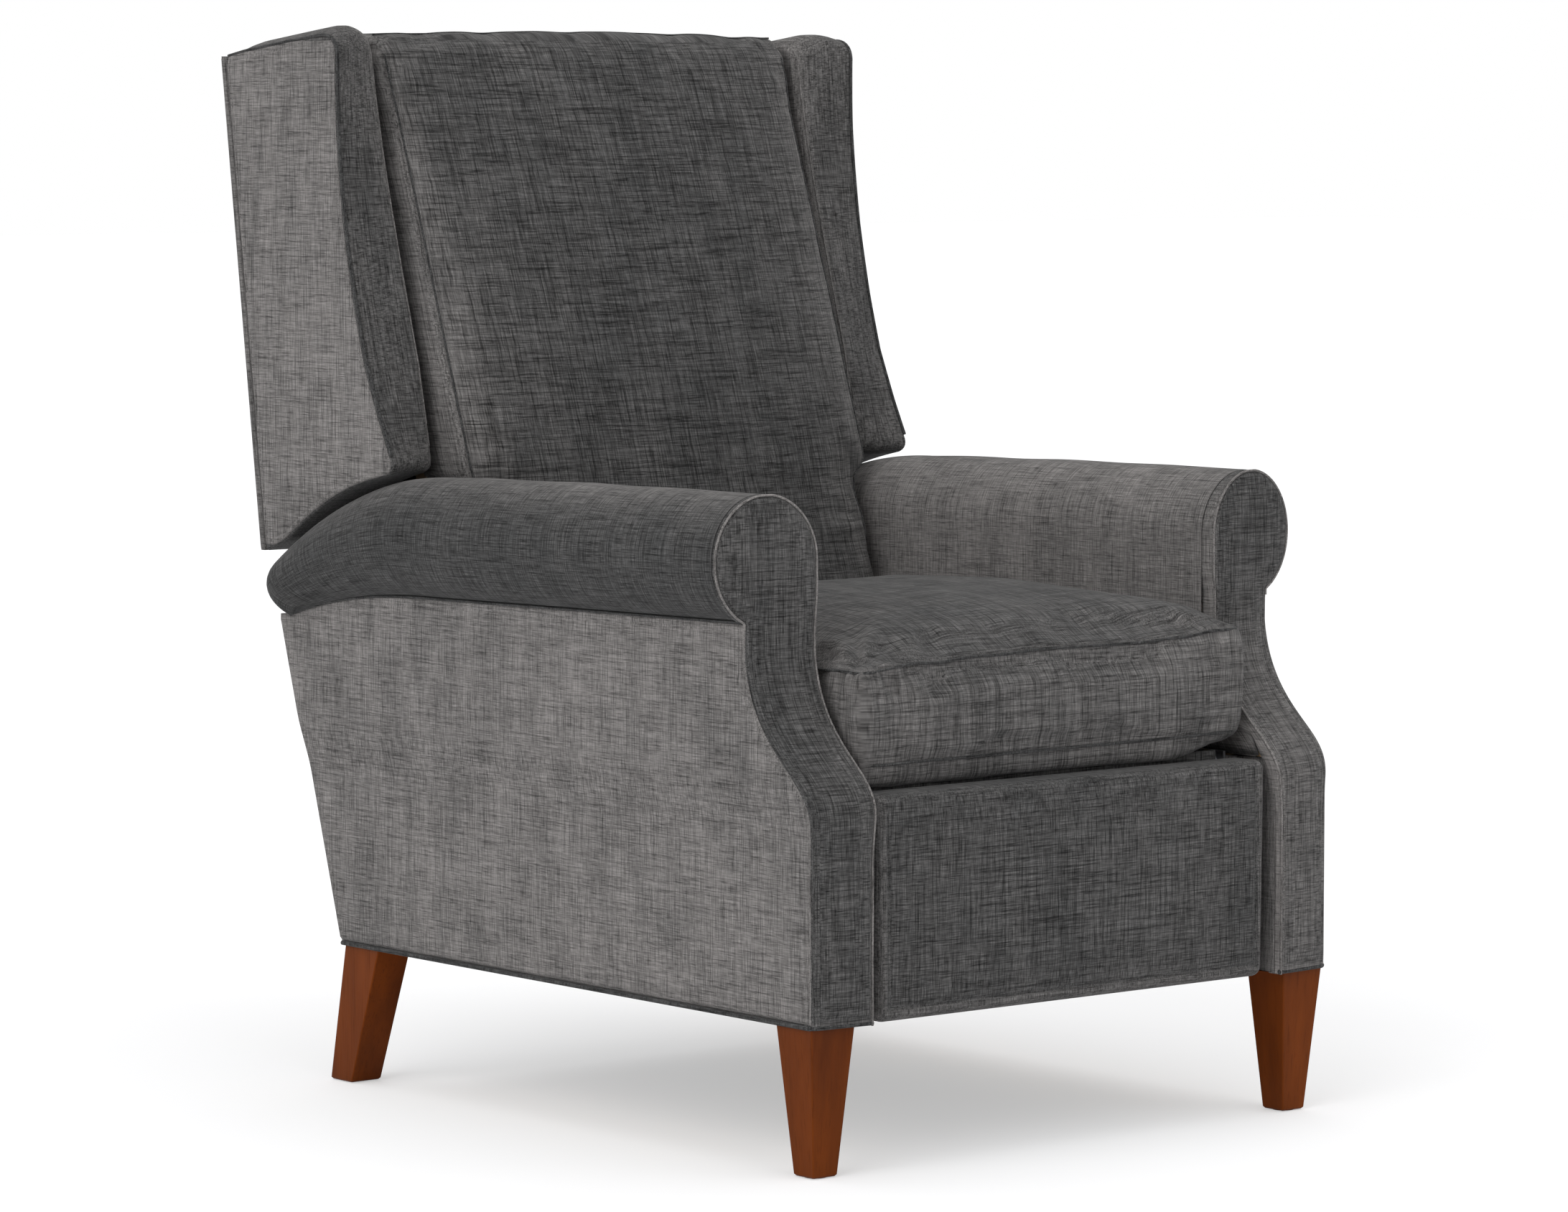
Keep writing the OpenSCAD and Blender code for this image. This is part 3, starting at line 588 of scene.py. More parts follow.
def chenille(name, c):
    """A heathered weave: short slubs both ways, dark and light, over a ground painted between a shaded and a
    lit tone of the cloth, as its pile catches the light.
    """
    tree = Tree(name, cloth=True)
    weights = tree.node("ShaderNodeSeparateXYZ", {}, {0: tree.stored("facing", 1)})[:3]

    # Noise drawn out along each axis; on a face across one axis, the threads run along the other two
    def drawn_out(scale, stretch):
        axes = np.eye(3, dtype=bool)
        return [tree.noise(scale, 1.0, 0.5, tuple(np.where(axis, stretch, 1.0))) for axis in axes]

    coarse = drawn_out(c.thread_scale, c.slub_stretch)
    fine = drawn_out(c.thread_scale * 2.3, c.slub_stretch * 2.0)
    threads = [p * 0.5 + q * 0.5 for p, q in zip(coarse, fine)]

    def crossed(order):
        shares = [weight * threads[k] for weight, k in zip(weights, order)]
        return shares[0] + shares[1] + shares[2]

    weft, warp = crossed((1, 0, 0)), crossed((2, 2, 1))
    crush = tree.noise(5.5, 4.0, 0.62)
    patches = tree.noise(30.0, 1.5, 0.5)
    smears = tree.noise(26.0, 2.0, 0.55, (1, 1, 0.25))
    clouds = (crush - 0.5) * 0.40 + (patches - 0.5) * 0.22 + (smears - 0.5) * 0.38
    # Where the cloth is painted lit, its clouds show more and its threads less
    painted_light_level = tree.stored("painted_light", 2)
    painted_light_level = painted_light_level + clouds * (painted_light_level * 1.7 + 0.40)
    depth = c.contrast * (1.2 - painted_light_level * 0.6)
    # The ground is painted between the cloth's shaded and lit tones: painted light and shade
    ground = tree.mix(painted_light_level, (*c.cloth_painted_shade, 1), (*c.cloth_painted_lit, 1))
    bands = [tree.level(way, 0.34, 0.66, 1.0, -1.0) * depth + 1.0 for way in (weft, warp)]
    slubs = tree.level(weft, 0.58, 0.64) * 0.20 + tree.level(warp, 0.58, 0.64) * 0.20
    shade = bands[0] * bands[1] * (1.0 - slubs)
    tone = tree.node("ShaderNodeCombineColor", {}, {0: shade, 1: shade, 2: shade})[0]
    relief = weft * 0.5 + warp * 0.5
    tree.set(Base_Color=tree.mix(1.0, ground, tone, "MULTIPLY"), Roughness=0.95)
    tree.set(Normal=tree.bump(relief, 0.5, 0.0010), Specular_IOR_Level=0.08)
    tree.set(Sheen_Weight=c.sheen, Sheen_Roughness=0.5, Sheen_Tint=(0.9, 0.9, 0.9, 1))
    return tree.owner


def stained_wood(name, light, dark):
    """A close-grained wood with a reddish stain: fine pores along the grain and a satin coat."""
    tree = Tree(name)
    grain = tree.noise(26.0, 5.0, 0.6, (1, 1, 0.12))
    pores = tree.noise(420.0, 2.0, 0.5, (1, 1, 0.05))
    tone = tree.ramp(grain, (0.3, dark), (0.7, light))
    tree.set(Base_Color=tree.mix(tree.level(pores, 0.58, 0.7) * 0.5, tone, (*dark, 1)))
    tree.set(Roughness=tree.level(pores, 0.4, 0.7, 0.42, 0.55), Coat_Weight=0.03, Coat_Roughness=0.35)
    tree.set(Specular_IOR_Level=0.06, Normal=tree.bump(pores, 0.15, 0.0004))
    return tree.owner


def bare_wood(name):
    """Sanded frame timber: pale, with a plain grain and no coat."""
    tree = Tree(name)
    grain = tree.noise(18.0, 5.0, 0.6, (1, 0.15, 1))
    pores = tree.noise(300.0, 2.0, 0.5, (1, 0.05, 1))
    tone = tree.ramp(grain, (0.3, (0.46, 0.31, 0.17)), (0.7, (0.62, 0.46, 0.29)))
    tree.set(Base_Color=tree.mix(tree.level(pores, 0.55, 0.7) * 0.4, tone, (0.34, 0.22, 0.11, 1)))
    tree.set(Roughness=0.7, Normal=tree.bump(pores, 0.2, 0.0005))
    return tree.owner


def zinc_steel(name, colour):
    """Zinc plated steel: cloudy plating and fine rolling marks."""
    tree = Tree(name)
    cloud = tree.noise(45.0, 4.0, 0.6)
    marks = tree.noise(500.0, 2.0, 0.5, (1, 0.03, 1))
    tree.set(Base_Color=tree.ramp(cloud, (0.35, dimmed(colour, 0.8)), (0.7, colour)), Metallic=1.0)
    tree.set(Roughness=tree.level(marks + cloud, 0.7, 1.3, 0.28, 0.48))
    tree.set(Normal=tree.bump(marks, 0.08, 0.0003))
    return tree.owner


def plain_weave(name, colour):
    """A tight dark cloth: crossed threads at a small pitch."""
    tree = Tree(name)
    waves = []
    for axis in "XY":
        values = {"Vector": tree.object_place(), "Scale": WAVE_SCALE}
        waves.append(tree.node("ShaderNodeTexWave", {"bands_direction": axis}, values)[0])
    weave = waves[0] * waves[1]
    dust = tree.noise(60.0, 3.0, 0.6)
    tree.set(Base_Color=tree.ramp(weave * 0.6 + dust * 0.4, (0.2, dimmed(colour, 0.55)), (0.8, colour)))
    tree.set(Roughness=0.9, Normal=tree.bump(weave, 0.3, 0.0005))
    return tree.owner


def moulded_plastic(name, colour):
    """A black moulded plastic with a faint grain."""
    tree = Tree(name)
    grain = tree.noise(350.0, 3.0, 0.5)
    tree.set(Base_Color=tree.ramp(grain, (0.3, dimmed(colour, 0.7)), (0.7, colour)))
    tree.set(Roughness=tree.level(grain, 0.3, 0.7, 0.45, 0.6), Normal=tree.bump(grain, 0.1, 0.0003))
    return tree.owner


def dimmed(colour, share):
    """A share of a colour's light."""
    return tuple(part * share for part in colour)


MATERIALS = {}


def material(key):
    """Makes each finish once, with the colours that the panel holds."""
    if key in MATERIALS:
        return MATERIALS[key]
    c = bpy.context.scene.recliner_colours
    makers = {
        "cover": lambda: chenille("cover_cloth", c),
        "legs": lambda: stained_wood("stained_legs", tuple(c.stain_light), tuple(c.stain_dark)),
        "frame": lambda: bare_wood("frame_timber"),
        "steel": lambda: zinc_steel("zinc_steel", (0.52, 0.53, 0.55)),
        "deck": lambda: plain_weave("deck_cloth", (0.06, 0.06, 0.06)),
        "black": lambda: plain_weave("black_cloth", (0.022, 0.022, 0.022)),
        "plastic": lambda: moulded_plastic("glide_plastic", (0.02, 0.02, 0.02)),
    }
    MATERIALS[key] = makers[key]()
    return MATERIALS[key]


def dress(piece, body, nodes=()):
    """Says which body carries a piece and hides the nodes that it stands for."""
    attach(piece, body)
    if nodes:
        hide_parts(*nodes)
    return piece


def stretched(width, rests_on):
    """Takes the frame pieces that a cloth rests on as a list, and keeps nothing. The width it was cut to is
    not used.
    """
    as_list(rests_on)


def size_setting(label, about_it, value):
    """A length that the panel shows."""
    return bpy.props.FloatProperty(name=label, description=about_it, default=value, unit="LENGTH")


def number_setting(label, about_it, value):
    """A plain number that the panel shows."""
    return bpy.props.FloatProperty(name=label, description=about_it, default=value)


def colour_setting(label, about_it, value):
    """A colour that the panel shows."""
    return bpy.props.FloatVectorProperty(
        name=label, description=about_it, default=value, subtype="COLOR", size=3, min=0, max=1)


class ReclinerSizes(bpy.types.PropertyGroup):
    """Padding and seams"""

    edge_radius: size_setting("Panel edge", "Rounding of the arm panels' padded edges", 0.006)
    welt_radius: size_setting("Welt", "Radius of the sewn welt cord", 0.0012)
    seat_crown: size_setting("Seat crown", "Rise of the seat cushion above its boxing", 0.038)
    back_crown: size_setting("Back crown", "Bulge of the back cushion's face", 0.030)
    leg_bevel: size_setting("Leg edge", "Rounding of the legs' edges", 0.0016)


class ReclinerColours(bpy.types.PropertyGroup):
    """Cloth and wood colours"""

    # The two cloth tones are the same grey painted in shade and painted lit; the ground runs between them
    cloth_painted_shade: colour_setting("Cloth, nap down", "Ground where the nap lies dark", (0.0385, 0.0385, 0.0385))
    cloth_painted_lit: colour_setting("Cloth, nap up", "Ground where the nap lies light", (0.178, 0.168, 0.163))
    thread_scale: number_setting("Thread scale", "Threads in a metre, roughly", 600.0)
    slub_stretch: number_setting("Slub stretch", "Thickness of a slub over its length", 0.03)
    contrast: number_setting("Thread contrast", "How much light and dark threads differ", 0.50)
    sheen: number_setting("Sheen", "Strength of the cloth's sheen", 0.07)
    stain_light: colour_setting("Stain", "Lit grain of the legs", (0.133, 0.0290, 0.0022))
    stain_dark: colour_setting("Dark stain", "Dark grain of the legs", (0.067, 0.0138, 0.0013))


def flare_at(z):
    """How far the outside arm stands out at height z: it flares at the foot of the arm front's S."""
    return FLARE * smooth((z - FLARE_FOOT) / FLARE_RISE)


def flared(a, b):
    """Distance of the outside arm panel's face from the middle plane, at height b."""
    return OUTER_HALF + 0.0008 + flare_at(b)


def arm_edges(z, inset=0.0):
    """Outer and inner distance from the middle plane of the arm's front face at height z."""
    outer = OUTER_HALF + 0.0004 + flare_at(z)
    # The inner edge draws in towards the seat in two steps: at the foot of the S, then beside the roll
    inner = INNER_HALF + 0.0083 - 0.0058 * smooth((z - 0.300) / 0.090) - 0.0025 * smooth((z - 0.520) / 0.045)
    centre = ARM_H - ROLL_HH
    part = np.sqrt(np.clip(1 - ((z - centre) / ROLL_HH) ** 2, 0, 1))
    round_outer = np.maximum(np.where(z < centre, outer, 0), ROLL_X + ROLL_R * part)
    outer = np.where(z > centre - ROLL_HH, round_outer, outer)
    inner = np.where(z > centre, ROLL_X - ROLL_R * part, inner)
    return outer - inset, inner + inset


def arm_face_depth(x, z):
    """Depth of the arm front at a distance x from the middle plane: its inner edge stands forward."""
    return front_depth(z) - SLANT * (OUTER_HALF - x) / (OUTER_HALF - INNER_HALF)


def arm_heights():
    """Heights of the rows on the arm front, crowded round the roll's crown and notch."""
    top = ARM_H - 0.0006
    low = np.arange(LEG_H, 0.51, 0.0045)
    turn = np.linspace(-math.pi / 2 * 0.97, math.pi / 2 * 0.985, 80)
    roll = ARM_H - ROLL_HH + ROLL_HH * np.sin(turn)
    return np.concatenate([low, roll[(roll > 0.512) & (roll < top)]])


def front_painted_light(places, normals):
    """The arm front is painted in shade, dark; it is lighter low down on the right arm and in a strip along
    its foot, and painted lit where it turns to face the seat.
    """
    low_right = (places[:, 0] > 0) * smooth((0.56 - places[:, 2]) / 0.15)
    at_foot = places[:, 2] < LEG_H + HEM
    return 0.11 + 0.25 * low_right + 0.25 * at_foot + 0.55 * inward(places, normals) ** 2


class RECLINER_OT_arm_fronts(bpy.types.Operator):
    """Make the padded fronts of both arms with their welts"""

    bl_idname = "recliner.arm_fronts"
    bl_label = "Arm fronts"

    def execute(self, context):
        sizes = context.scene.recliner_sizes
        z = arm_heights()
        outer, inner = arm_edges(z, 0.0012)
        rows = np.stack([z, inner, outer], 1)

        def relief(a, b, dist):
            side_hem = groove(arm_edges(b)[0] - a, HEM, 0.0009, 0.0014) * (b < NOTCH_Z)
            foot_hem = groove(b - LEG_H, HEM, 0.0008, 0.0015)
            return side_hem + foot_hem + 0.0022 * smooth(dist / 0.030)

        # The cord runs up the inner edge, round the roll and down to the notch
        outer, inner = arm_edges(z, 0.0014)
        up, down = (np.stack([x, arm_face_depth(x, z) + 0.0018, z], 1) for x in (inner, outer))
        cord = resample(np.concatenate([up, down[z > NOTCH_Z][::-1]]), 420)
        for side, sign in SIDES:
            panel = padded_plate(
                f"{side}_arm_front", rows,
                lambda a, b: -(front_depth(b) + PANEL_T), lambda a, b: -arm_face_depth(a, b),
                lambda a, b, h, sign=sign: (sign * a, -h - HALF_DEPTH, b),
                front_painted_light, sizes.edge_radius, 72, 0.002, relief)
            straightened(panel, lambda p: arm_face_depth(np.abs(p[:, 0]), p[:, 2]))
            dress(panel, "base", [f"{side}_front_panel"])
            dress(tube(f"{side}_arm_front_welt", on_side(cord, sign), sizes.welt_radius, WELT_PAINTED_LIGHT), "base")
        return {"FINISHED"}


def arm_station(t, r):
    """A side-view point of the arm at a share t of its length and at radius r from the back's axis level.
    Up to the axis it runs straight, and then round it. The front follows the arm's S."""
    z = PIVOT[1] + r
    d0 = front_depth(z) + 0.010
    along = np.clip(t / STRAIGHT, 0, 1)
    angle = np.clip((t - STRAIGHT) / (1 - STRAIGHT), 0, 1) * ARM_END
    turn_d, turn_z = about(r, angle)
    return np.where(t <= STRAIGHT, d0 + (PIVOT[0] - d0) * along, turn_d), np.where(t <= STRAIGHT, z, turn_z)


def arm_ring(t, count=96):
    """One ring of the arm's cover: round the roll from the outside seam, then down the inside."""
    along = min(t / STRAIGHT, 1.0)
    turn = max(0.0, (t - STRAIGHT) / (1 - STRAIGHT))
    top = ARM_R + 0.007 * (1 - along * along)
    low = SEAM_Z - 0.004 - PIVOT[1] - 0.008 * along + SEAM_RISE * turn * turn
    mid, hh = (top + low) / 2, (top - low) / 2
    n = int(count * 0.62)
    a = np.linspace(math.radians(-64), math.radians(180), n)
    x = ROLL_X + ROLL_R * np.cos(a)
    r = mid + hh * np.sin(a)
    bottom = (INNER_LOW.z + 0.002 - PIVOT[1]) / math.cos(turn * ARM_END)
    m = (count - n) // 2 + 6
    down = np.linspace(0, 1, m + 1)[1:]
    x_in = INNER_HALF + 0.0006 * np.sin(math.pi * down)
    r_in = mid + (bottom - mid) * down
    back = np.linspace(0, 1, count - n - m + 2)[1:-1]
    x_back = INNER_HALF + 0.006 + (x[0] - 0.012 - INNER_HALF - 0.006) * smooth((back - 0.6) / 0.4)
    r_back = bottom + (r[0] + 0.006 - bottom) * back
    return np.concatenate([x, x_in, x_back]), np.concatenate([r, r_in, r_back])


def roll_painted_light(places, normals):
    """The roll is painted in shade, dark, outside, and painted lit on top and towards the seat."""
    return 0.02 + 0.36 * np.clip(normals[:, 2], 0, 1) ** 3 + 0.70 * inward(places, normals)


class RECLINER_OT_arm_covers(bpy.types.Operator):
    """Make the rolled arm covers, which run over the roll and down the inside"""

    bl_idname = "recliner.arm_covers"
    bl_label = "Arm covers"

    def execute(self, context):
        ts = np.concatenate([
            [0, 0.0006], np.linspace(0, STRAIGHT, 40)[1:], np.linspace(STRAIGHT, 1 - END_ROUND, 44)[1:],
            1 - END_ROUND * (1 - np.sin(np.linspace(0, math.pi / 2, 12)[1:]))])
        rings = []
        for t in ts:
            x, r = arm_ring(t)
            into = max(0.0, (t - (1 - END_ROUND)) / END_ROUND)
            shrink = math.sqrt(max(0.0, 1 - (0.97 * into) ** 2))
            mid = (r.max() + ROLL_LOW_R) / 2
            if into > 0:
                x = ROLL_X + (x - ROLL_X) * (0.3 + 0.7 * shrink)
                r = mid + (r - mid) * (0.25 + 0.75 * shrink)
            # Soft unevenness of the stuffing along the roll
            fade = math.sin(math.pi * min(t / 0.9, 1))
            r = r + 0.0005 * np.sin(31 * t + 3 * x / ROLL_R) * fade * (r > mid)
            rings.append(in_space(x, *arm_station(np.full_like(r, t), r)))
        rings = np.array(rings)
        # The threads follow the cloth's own length and its way round the roll
        x, r = arm_ring(0.3)
        girth = np.concatenate([[0], np.cumsum(np.hypot(np.diff(x), np.diff(r)))])
        length, way_round = np.meshgrid(ts * ARM_LENGTH, girth, indexing="ij")
        flat = np.stack([0 * length, length, way_round], -1)
        flat = np.vstack([flat.reshape(-1, 3), flat[0].mean(0), flat[-1].mean(0)])
        for side, sign in SIDES:
            cover = lofted(f"{side}_arm_cover", rings * (sign, 1, 1), roll_painted_light, first_pole=(0, 0.06, 0))
            woven(cover, flat, np.tile([1.0, 0.0, 0.0], (len(flat), 1)))
            dress(cover, "base", [f"{side}_arm_pad"])
        return {"FINISHED"}


def seam_line(n, drop=0.0):
    """The seam under the roll in side view, from the front to the arm's end."""
    front_d = np.linspace(ARM_FRONT_D + 0.004, PIVOT[0], 60)
    front = np.stack([front_d, np.linspace(SEAM_Z - drop, PIVOT[1] + SEAM_R - drop, 60)], 1)
    t = np.linspace(0, 1, n)
    rear = np.stack(about(SEAM_R - drop + SEAM_RISE * t * t, ARM_END * t), 1)
    return np.vstack([front[:-1], rear])


def side_rows(inset_front, inset_rear, low_z, drop):
    """Rows (height, front depth, rear depth) of an arm's side panel, up to the seam under the roll."""
    seam = seam_line(60, drop)
    end_z = seam[-1, 1]
    z = np.concatenate([np.arange(low_z, end_z, 0.005), [end_z]])
    rows = [(h, float(front_depth(h)) + inset_front, rear_depth(h) - inset_rear) for h in z]
    order = np.argsort(seam[:, 1])
    for h in np.linspace(end_z, SEAM_Z - drop - 0.0005, 24)[1:]:
        rear = np.interp(h, seam[order][:, 1], seam[order][:, 0])
        rows.append((h, float(front_depth(h)) + inset_front, rear))
    return np.array(rows)


def turned_cloth(name, line, x_start, x_end, turn, painted_light):
    """A cloth wrapped over a frame member: it follows a side-view line and runs from x_start to x_end.
    At each corner the cloth's height over the line is (n1 + n2) / (1 + n1.n2), so it stays equally thick."""
    step = np.diff(line, axis=0)
    step /= np.linalg.norm(step, axis=1)[:, None]
    normal = turn * np.stack([step[:, 1], -step[:, 0]], 1)
    before, after = np.vstack([normal[:1], normal]), np.vstack([normal, normal[-1:]])
    mitre = (before + after) / (1 + (before * after).sum(1))[:, None]
    share = np.linspace(0, 1, 12)
    rings = []
    for place, out, a, b in zip(line, mitre, x_start, x_end):
        x = a + (b - a) * share
        skins = in_space(x, *(place + 0.0002 * out)), in_space(x[::-1], *(place + 0.0015 * out))
        rings.append(np.vstack(skins))
    return shaded(lofted(name, rings, painted_light), False)


class RECLINER_OT_outside_arms(bpy.types.Operator):
    """Make the outside and inside arm panels, the cloth turned in over the frame, and the base's cords"""

    bl_idname = "recliner.outside_arms"
    bl_label = "Outside arms"

    def execute(self, context):
        outside = side_rows(0.0022, 0.001, LEG_H + 0.0036, 0.0)
        inside = side_rows(0.020, 0.007, INNER_LOW.z, 0.002)
        for side, sign in SIDES:
            panel = padded_plate(
                f"{side}_outside_arm", outside, lambda a, b: flared(a, b) - 0.008, flared,
                from_side(sign), OUTSIDE_PAINTED_LIGHT, 0.0035, 120, 0.001,
                lambda a, b, dist: groove(dist, HEM, 0.0007, 0.0014) + 0.0008 * smooth(dist / 0.05))
            dress(panel, "base", [f"{side}_outer_panel"])
            lining = padded_plate(
                f"{side}_inside_arm", inside, at_height(-(INNER_HALF + 0.0078)),
                at_height(-(INNER_HALF + 0.0012)), from_side(-sign), INSIDE_PAINTED_LIGHT, 0.002, 60)
            dress(lining, "base", [f"{side}_inner_panel"])
            self.front_post(side, sign)
            self.rear_post(side, sign)
            self.cords(side, sign)
        self.front_rail()
        return {"FINISHED"}

    def front_post(self, side, sign):
        """The cover turns in round the front post, behind the gap beside the footrest."""
        inner_x = float(arm_edges(np.array([LEG_H]))[1][0]) - 0.0004
        corner_d = FOOT_RAIL_D - 0.0006
        section = np.array([
            (inner_x, BASE_D + 0.002), (inner_x, corner_d), (PLATE_X + 0.004, corner_d),
            (PLATE_X + 0.004, corner_d + 0.0004), (inner_x + 0.0005, corner_d + 0.0004),
            (inner_x + 0.0005, BASE_D + 0.002)])
        heights = np.linspace(LEG_H + 0.0015, REST_HIGH.z + 0.0005, 30)
        rings = [in_space(sign * section[:, 0], section[:, 1], h) for h in heights]
        dress(shaded(lofted(f"{side}_post_lining", rings, POST_PAINTED_LIGHT), False), "base")

    def rear_post(self, side, sign):
        """The cover turns in over the rear post and its top, and lower down round the post's inner face."""
        share = np.linspace(1, 0.78, 14)
        crest = np.stack(about(SEAM_R - POST_DROP + SEAM_RISE * share**2, ARM_END * share), 1)
        foot = (rear_depth(LEG_H + BASE_SKIN) - POST_INSET, LEG_H + BASE_SKIN)
        rise = resample([foot, crest[0]], 80)
        line = np.vstack([rise[:-1], crest])
        x_in = np.full(len(line), INNER_HALF + 0.0079)
        x_out = flared(0, line[:, 1]) - 0.0079
        cloth = turned_cloth(f"{side}_rear_post_cloth", line, sign * x_in, sign * x_out, 1, REAR_POST_PAINTED_LIGHT)
        dress(cloth, "base")
        stretched(abs(x_out - x_in).mean(), [f"{side}_side_frame"])
        z = np.linspace(RAIL_TOP + 0.001, INNER_LOW.z - 0.0005, 40)
        rear_d = np.interp(z, rise[:, 1], rise[:, 0]) - 0.0003
        rows = np.stack([z, np.interp(z, *POST_FRONT), rear_d], 1)
        cloth = padded_plate(
            f"{side}_post_inner_cloth", rows, at_height(-(INNER_HALF + 0.0078)),
            at_height(-(INNER_HALF + 0.0064)), from_side(-sign), POST_INNER_PAINTED_LIGHT, 0.0003, 30)
        dress(cloth, "base")
        stretched((rows[:, 2] - rows[:, 1]).mean(), [f"{side}_side_frame"])

    def cords(self, side, sign):
        """A cord along the lower edge, round the front corner, and the seam under the roll."""
        outer, inner = (float(x[0]) for x in arm_edges(np.array([LEG_H])))
        front_d = float(arm_face_depth(outer, LEG_H))
        low = LEG_H + 0.0026
        foot = resample([
            (inner, front_d - SLANT + 0.004, low), (outer - 0.006, front_d + 0.001, low),
            (outer - 0.0005, front_d + 0.006, low), (OUTER_HALF, 0.30, low),
            (OUTER_HALF, rear_depth(LEG_H) - 0.004, low)], 260)
        dress(tube(f"{side}_base_welt", on_side(foot, sign), BASE_WELT_R), "base")
        seam = in_space(sign * (OUTER_HALF + FLARE + 0.0002), *seam_line(120).T)
        dress(tube(f"{side}_roll_seam", resample(seam, 200), ROLL_SEAM_R), "base")

    def front_rail(self):
        """The cloth over the front rail, seen when the footrest is out."""
        low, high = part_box("front_rail")
        front, rear = low.y + HALF_DEPTH, high.y + HALF_DEPTH
        face = resample([(front, low.z + 0.0005), (front, high.z)], 20)
        line = np.vstack([face[:-1], resample([(front, high.z), (rear, high.z)], 8)])
        ends = np.full(len(line), low.x), np.full(len(line), high.x)
        cloth = turned_cloth("front_rail_cloth", line, *ends, -1, RAIL_PAINTED_LIGHT)
        dress(cloth, "base")
        stretched(high.x - low.x, ["front_rail"])


def wing_rear(z):
    """Depth of the back's rear face at height z."""
    rise = WING_HIGH.z - WING_DROP - WING_LOW.z
    return WING_REAR_LOW + (WING_REAR_TOP - WING_REAR_LOW) * (z - WING_LOW.z) / rise


def wing_front_depth(z):
    """Depth of the wing's front edge at height z: it sweeps back and straightens upwards."""
    z0 = about(WING_R, TIP_A)[1] + 0.008
    t = np.clip((z - z0) / (WING_HIGH.z - WING_CORNER - z0), 0, 1)
    return WING_TIP_D + (WING_TOP_D - WING_TIP_D) * (1 - (1 - t) ** 1.55)


def wing_bend(dome):
    """Twists the front edge and swells the top, whose crest is at mid-thickness."""
    def bend(points):
        p = np.array(points, float)
        u = np.clip((np.abs(p[:, 0]) - WING_MID) / WING_HALF, -1, 1)
        d = p[:, 1] + HALF_DEPTH
        near_front = smooth(1 - (d - wing_front_depth(p[:, 2])) / 0.080)
        near_top = smooth(1 - (wing_top_height(d) - p[:, 2]) / 0.060)
        rear_end = wing_rear(WING_HIGH.z) - SKIN_T
        p[:, 1] += np.interp(p[:, 2], TWIST_HEIGHTS, TWIST_SHIFTS) * u * near_front
        p[:, 2] += dome * (1 - u * u) * near_top * smooth((rear_end - d) / 0.045)
        return p

    return bend


def wing_low_height(d):
    """Height of the wing's lower edge at depth d: an arc round the back's axis, then level to the rear."""
    arc = PIVOT[1] + np.sqrt(np.maximum(WING_R**2 - (d - PIVOT[0]) ** 2, 0))
    flat_d, flat_z = about(WING_R, FLAT_A)
    rear = WING_REAR_LOW - SKIN_T
    level = flat_z + (WING_LOW.z - flat_z) * np.clip((d - flat_d) / (rear - flat_d), 0, 1)
    return np.where(d < flat_d, arc, level)


def wing_top_height(d):
    """Height of the wing's top at depth d: level at the front, then falling evenly to the rear."""
    return WING_TOP_Z - TOP_SLOPE * np.maximum(d - WING_TOP_D - WING_FLAT, 0)


def wing_outline():
    """The wing's outline in side view, from the front tip up and round."""
    tip_z = about(WING_R, TIP_A)[1]
    z = np.linspace(tip_z + 0.018, WING_TOP_Z - 0.020, 120)
    front = np.stack([wing_front_depth(z), z], 1)
    corner = cubic([
        front[-1], (WING_TOP_D + 0.002, WING_TOP_Z - 0.008), (WING_TOP_D + 0.010, WING_TOP_Z),
        (WING_TOP_D + WING_FLAT, WING_TOP_Z)], np.linspace(0, 1, 16))
    d = np.linspace(WING_TOP_D + WING_FLAT, wing_rear(WING_HIGH.z - WING_DROP) - SKIN_T, 40)
    top = np.stack([d, wing_top_height(d)], 1)
    z = np.linspace(WING_HIGH.z - WING_DROP - 0.002, WING_LOW.z, 60)
    rear = np.stack([wing_rear(z) - SKIN_T, z], 1)
    d = np.linspace(WING_REAR_LOW - SKIN_T, WING_TIP_D + 0.013, 80)
    low = np.stack([d, wing_low_height(d)], 1)
    tip = cubic([
        low[-1], (WING_TIP_D + 0.004, tip_z - 0.001), (WING_TIP_D - 0.002, tip_z + 0.006),
        front[0]], np.linspace(0, 1, 14))
    return np.vstack([front[:-1], corner[:-1], top[:-1], rear[1:-1], low[:-1], tip[:-1]])


def rows_of(outline, n):
    """Rows (height, lowest depth, highest depth) through a closed side-view outline."""
    z0, z1 = outline[:, 1].min(), outline[:, 1].max()
    rows = []
    closed = np.vstack([outline, outline[:1]])
    a, b = closed[:-1], closed[1:]
    span = np.where(np.abs(b[:, 1] - a[:, 1]) < 1e-12, 1, b[:, 1] - a[:, 1])
    # The first and last rows lie just inside the outline's ends
    for z in z0 + (z1 - z0) * (0.0008 + 0.9984 * across(n, 0.5)):
        hit = (a[:, 1] - z) * (b[:, 1] - z) <= 0
        d = (a[:, 0] + (b[:, 0] - a[:, 0]) * (z - a[:, 1]) / span)[hit]
        rows.append((z, d.min(), d.max()))
    return np.array(rows)


def wing_painted_light(places, normals):
    """The wing's band is painted in shade, dark, and painted a little lit on its domed top and towards the
    cushion, where it eases the shade in the gap.
    """
    return 0.12 + 0.15 * np.clip(normals[:, 2], 0, 1) + 0.40 * inward(places, normals)


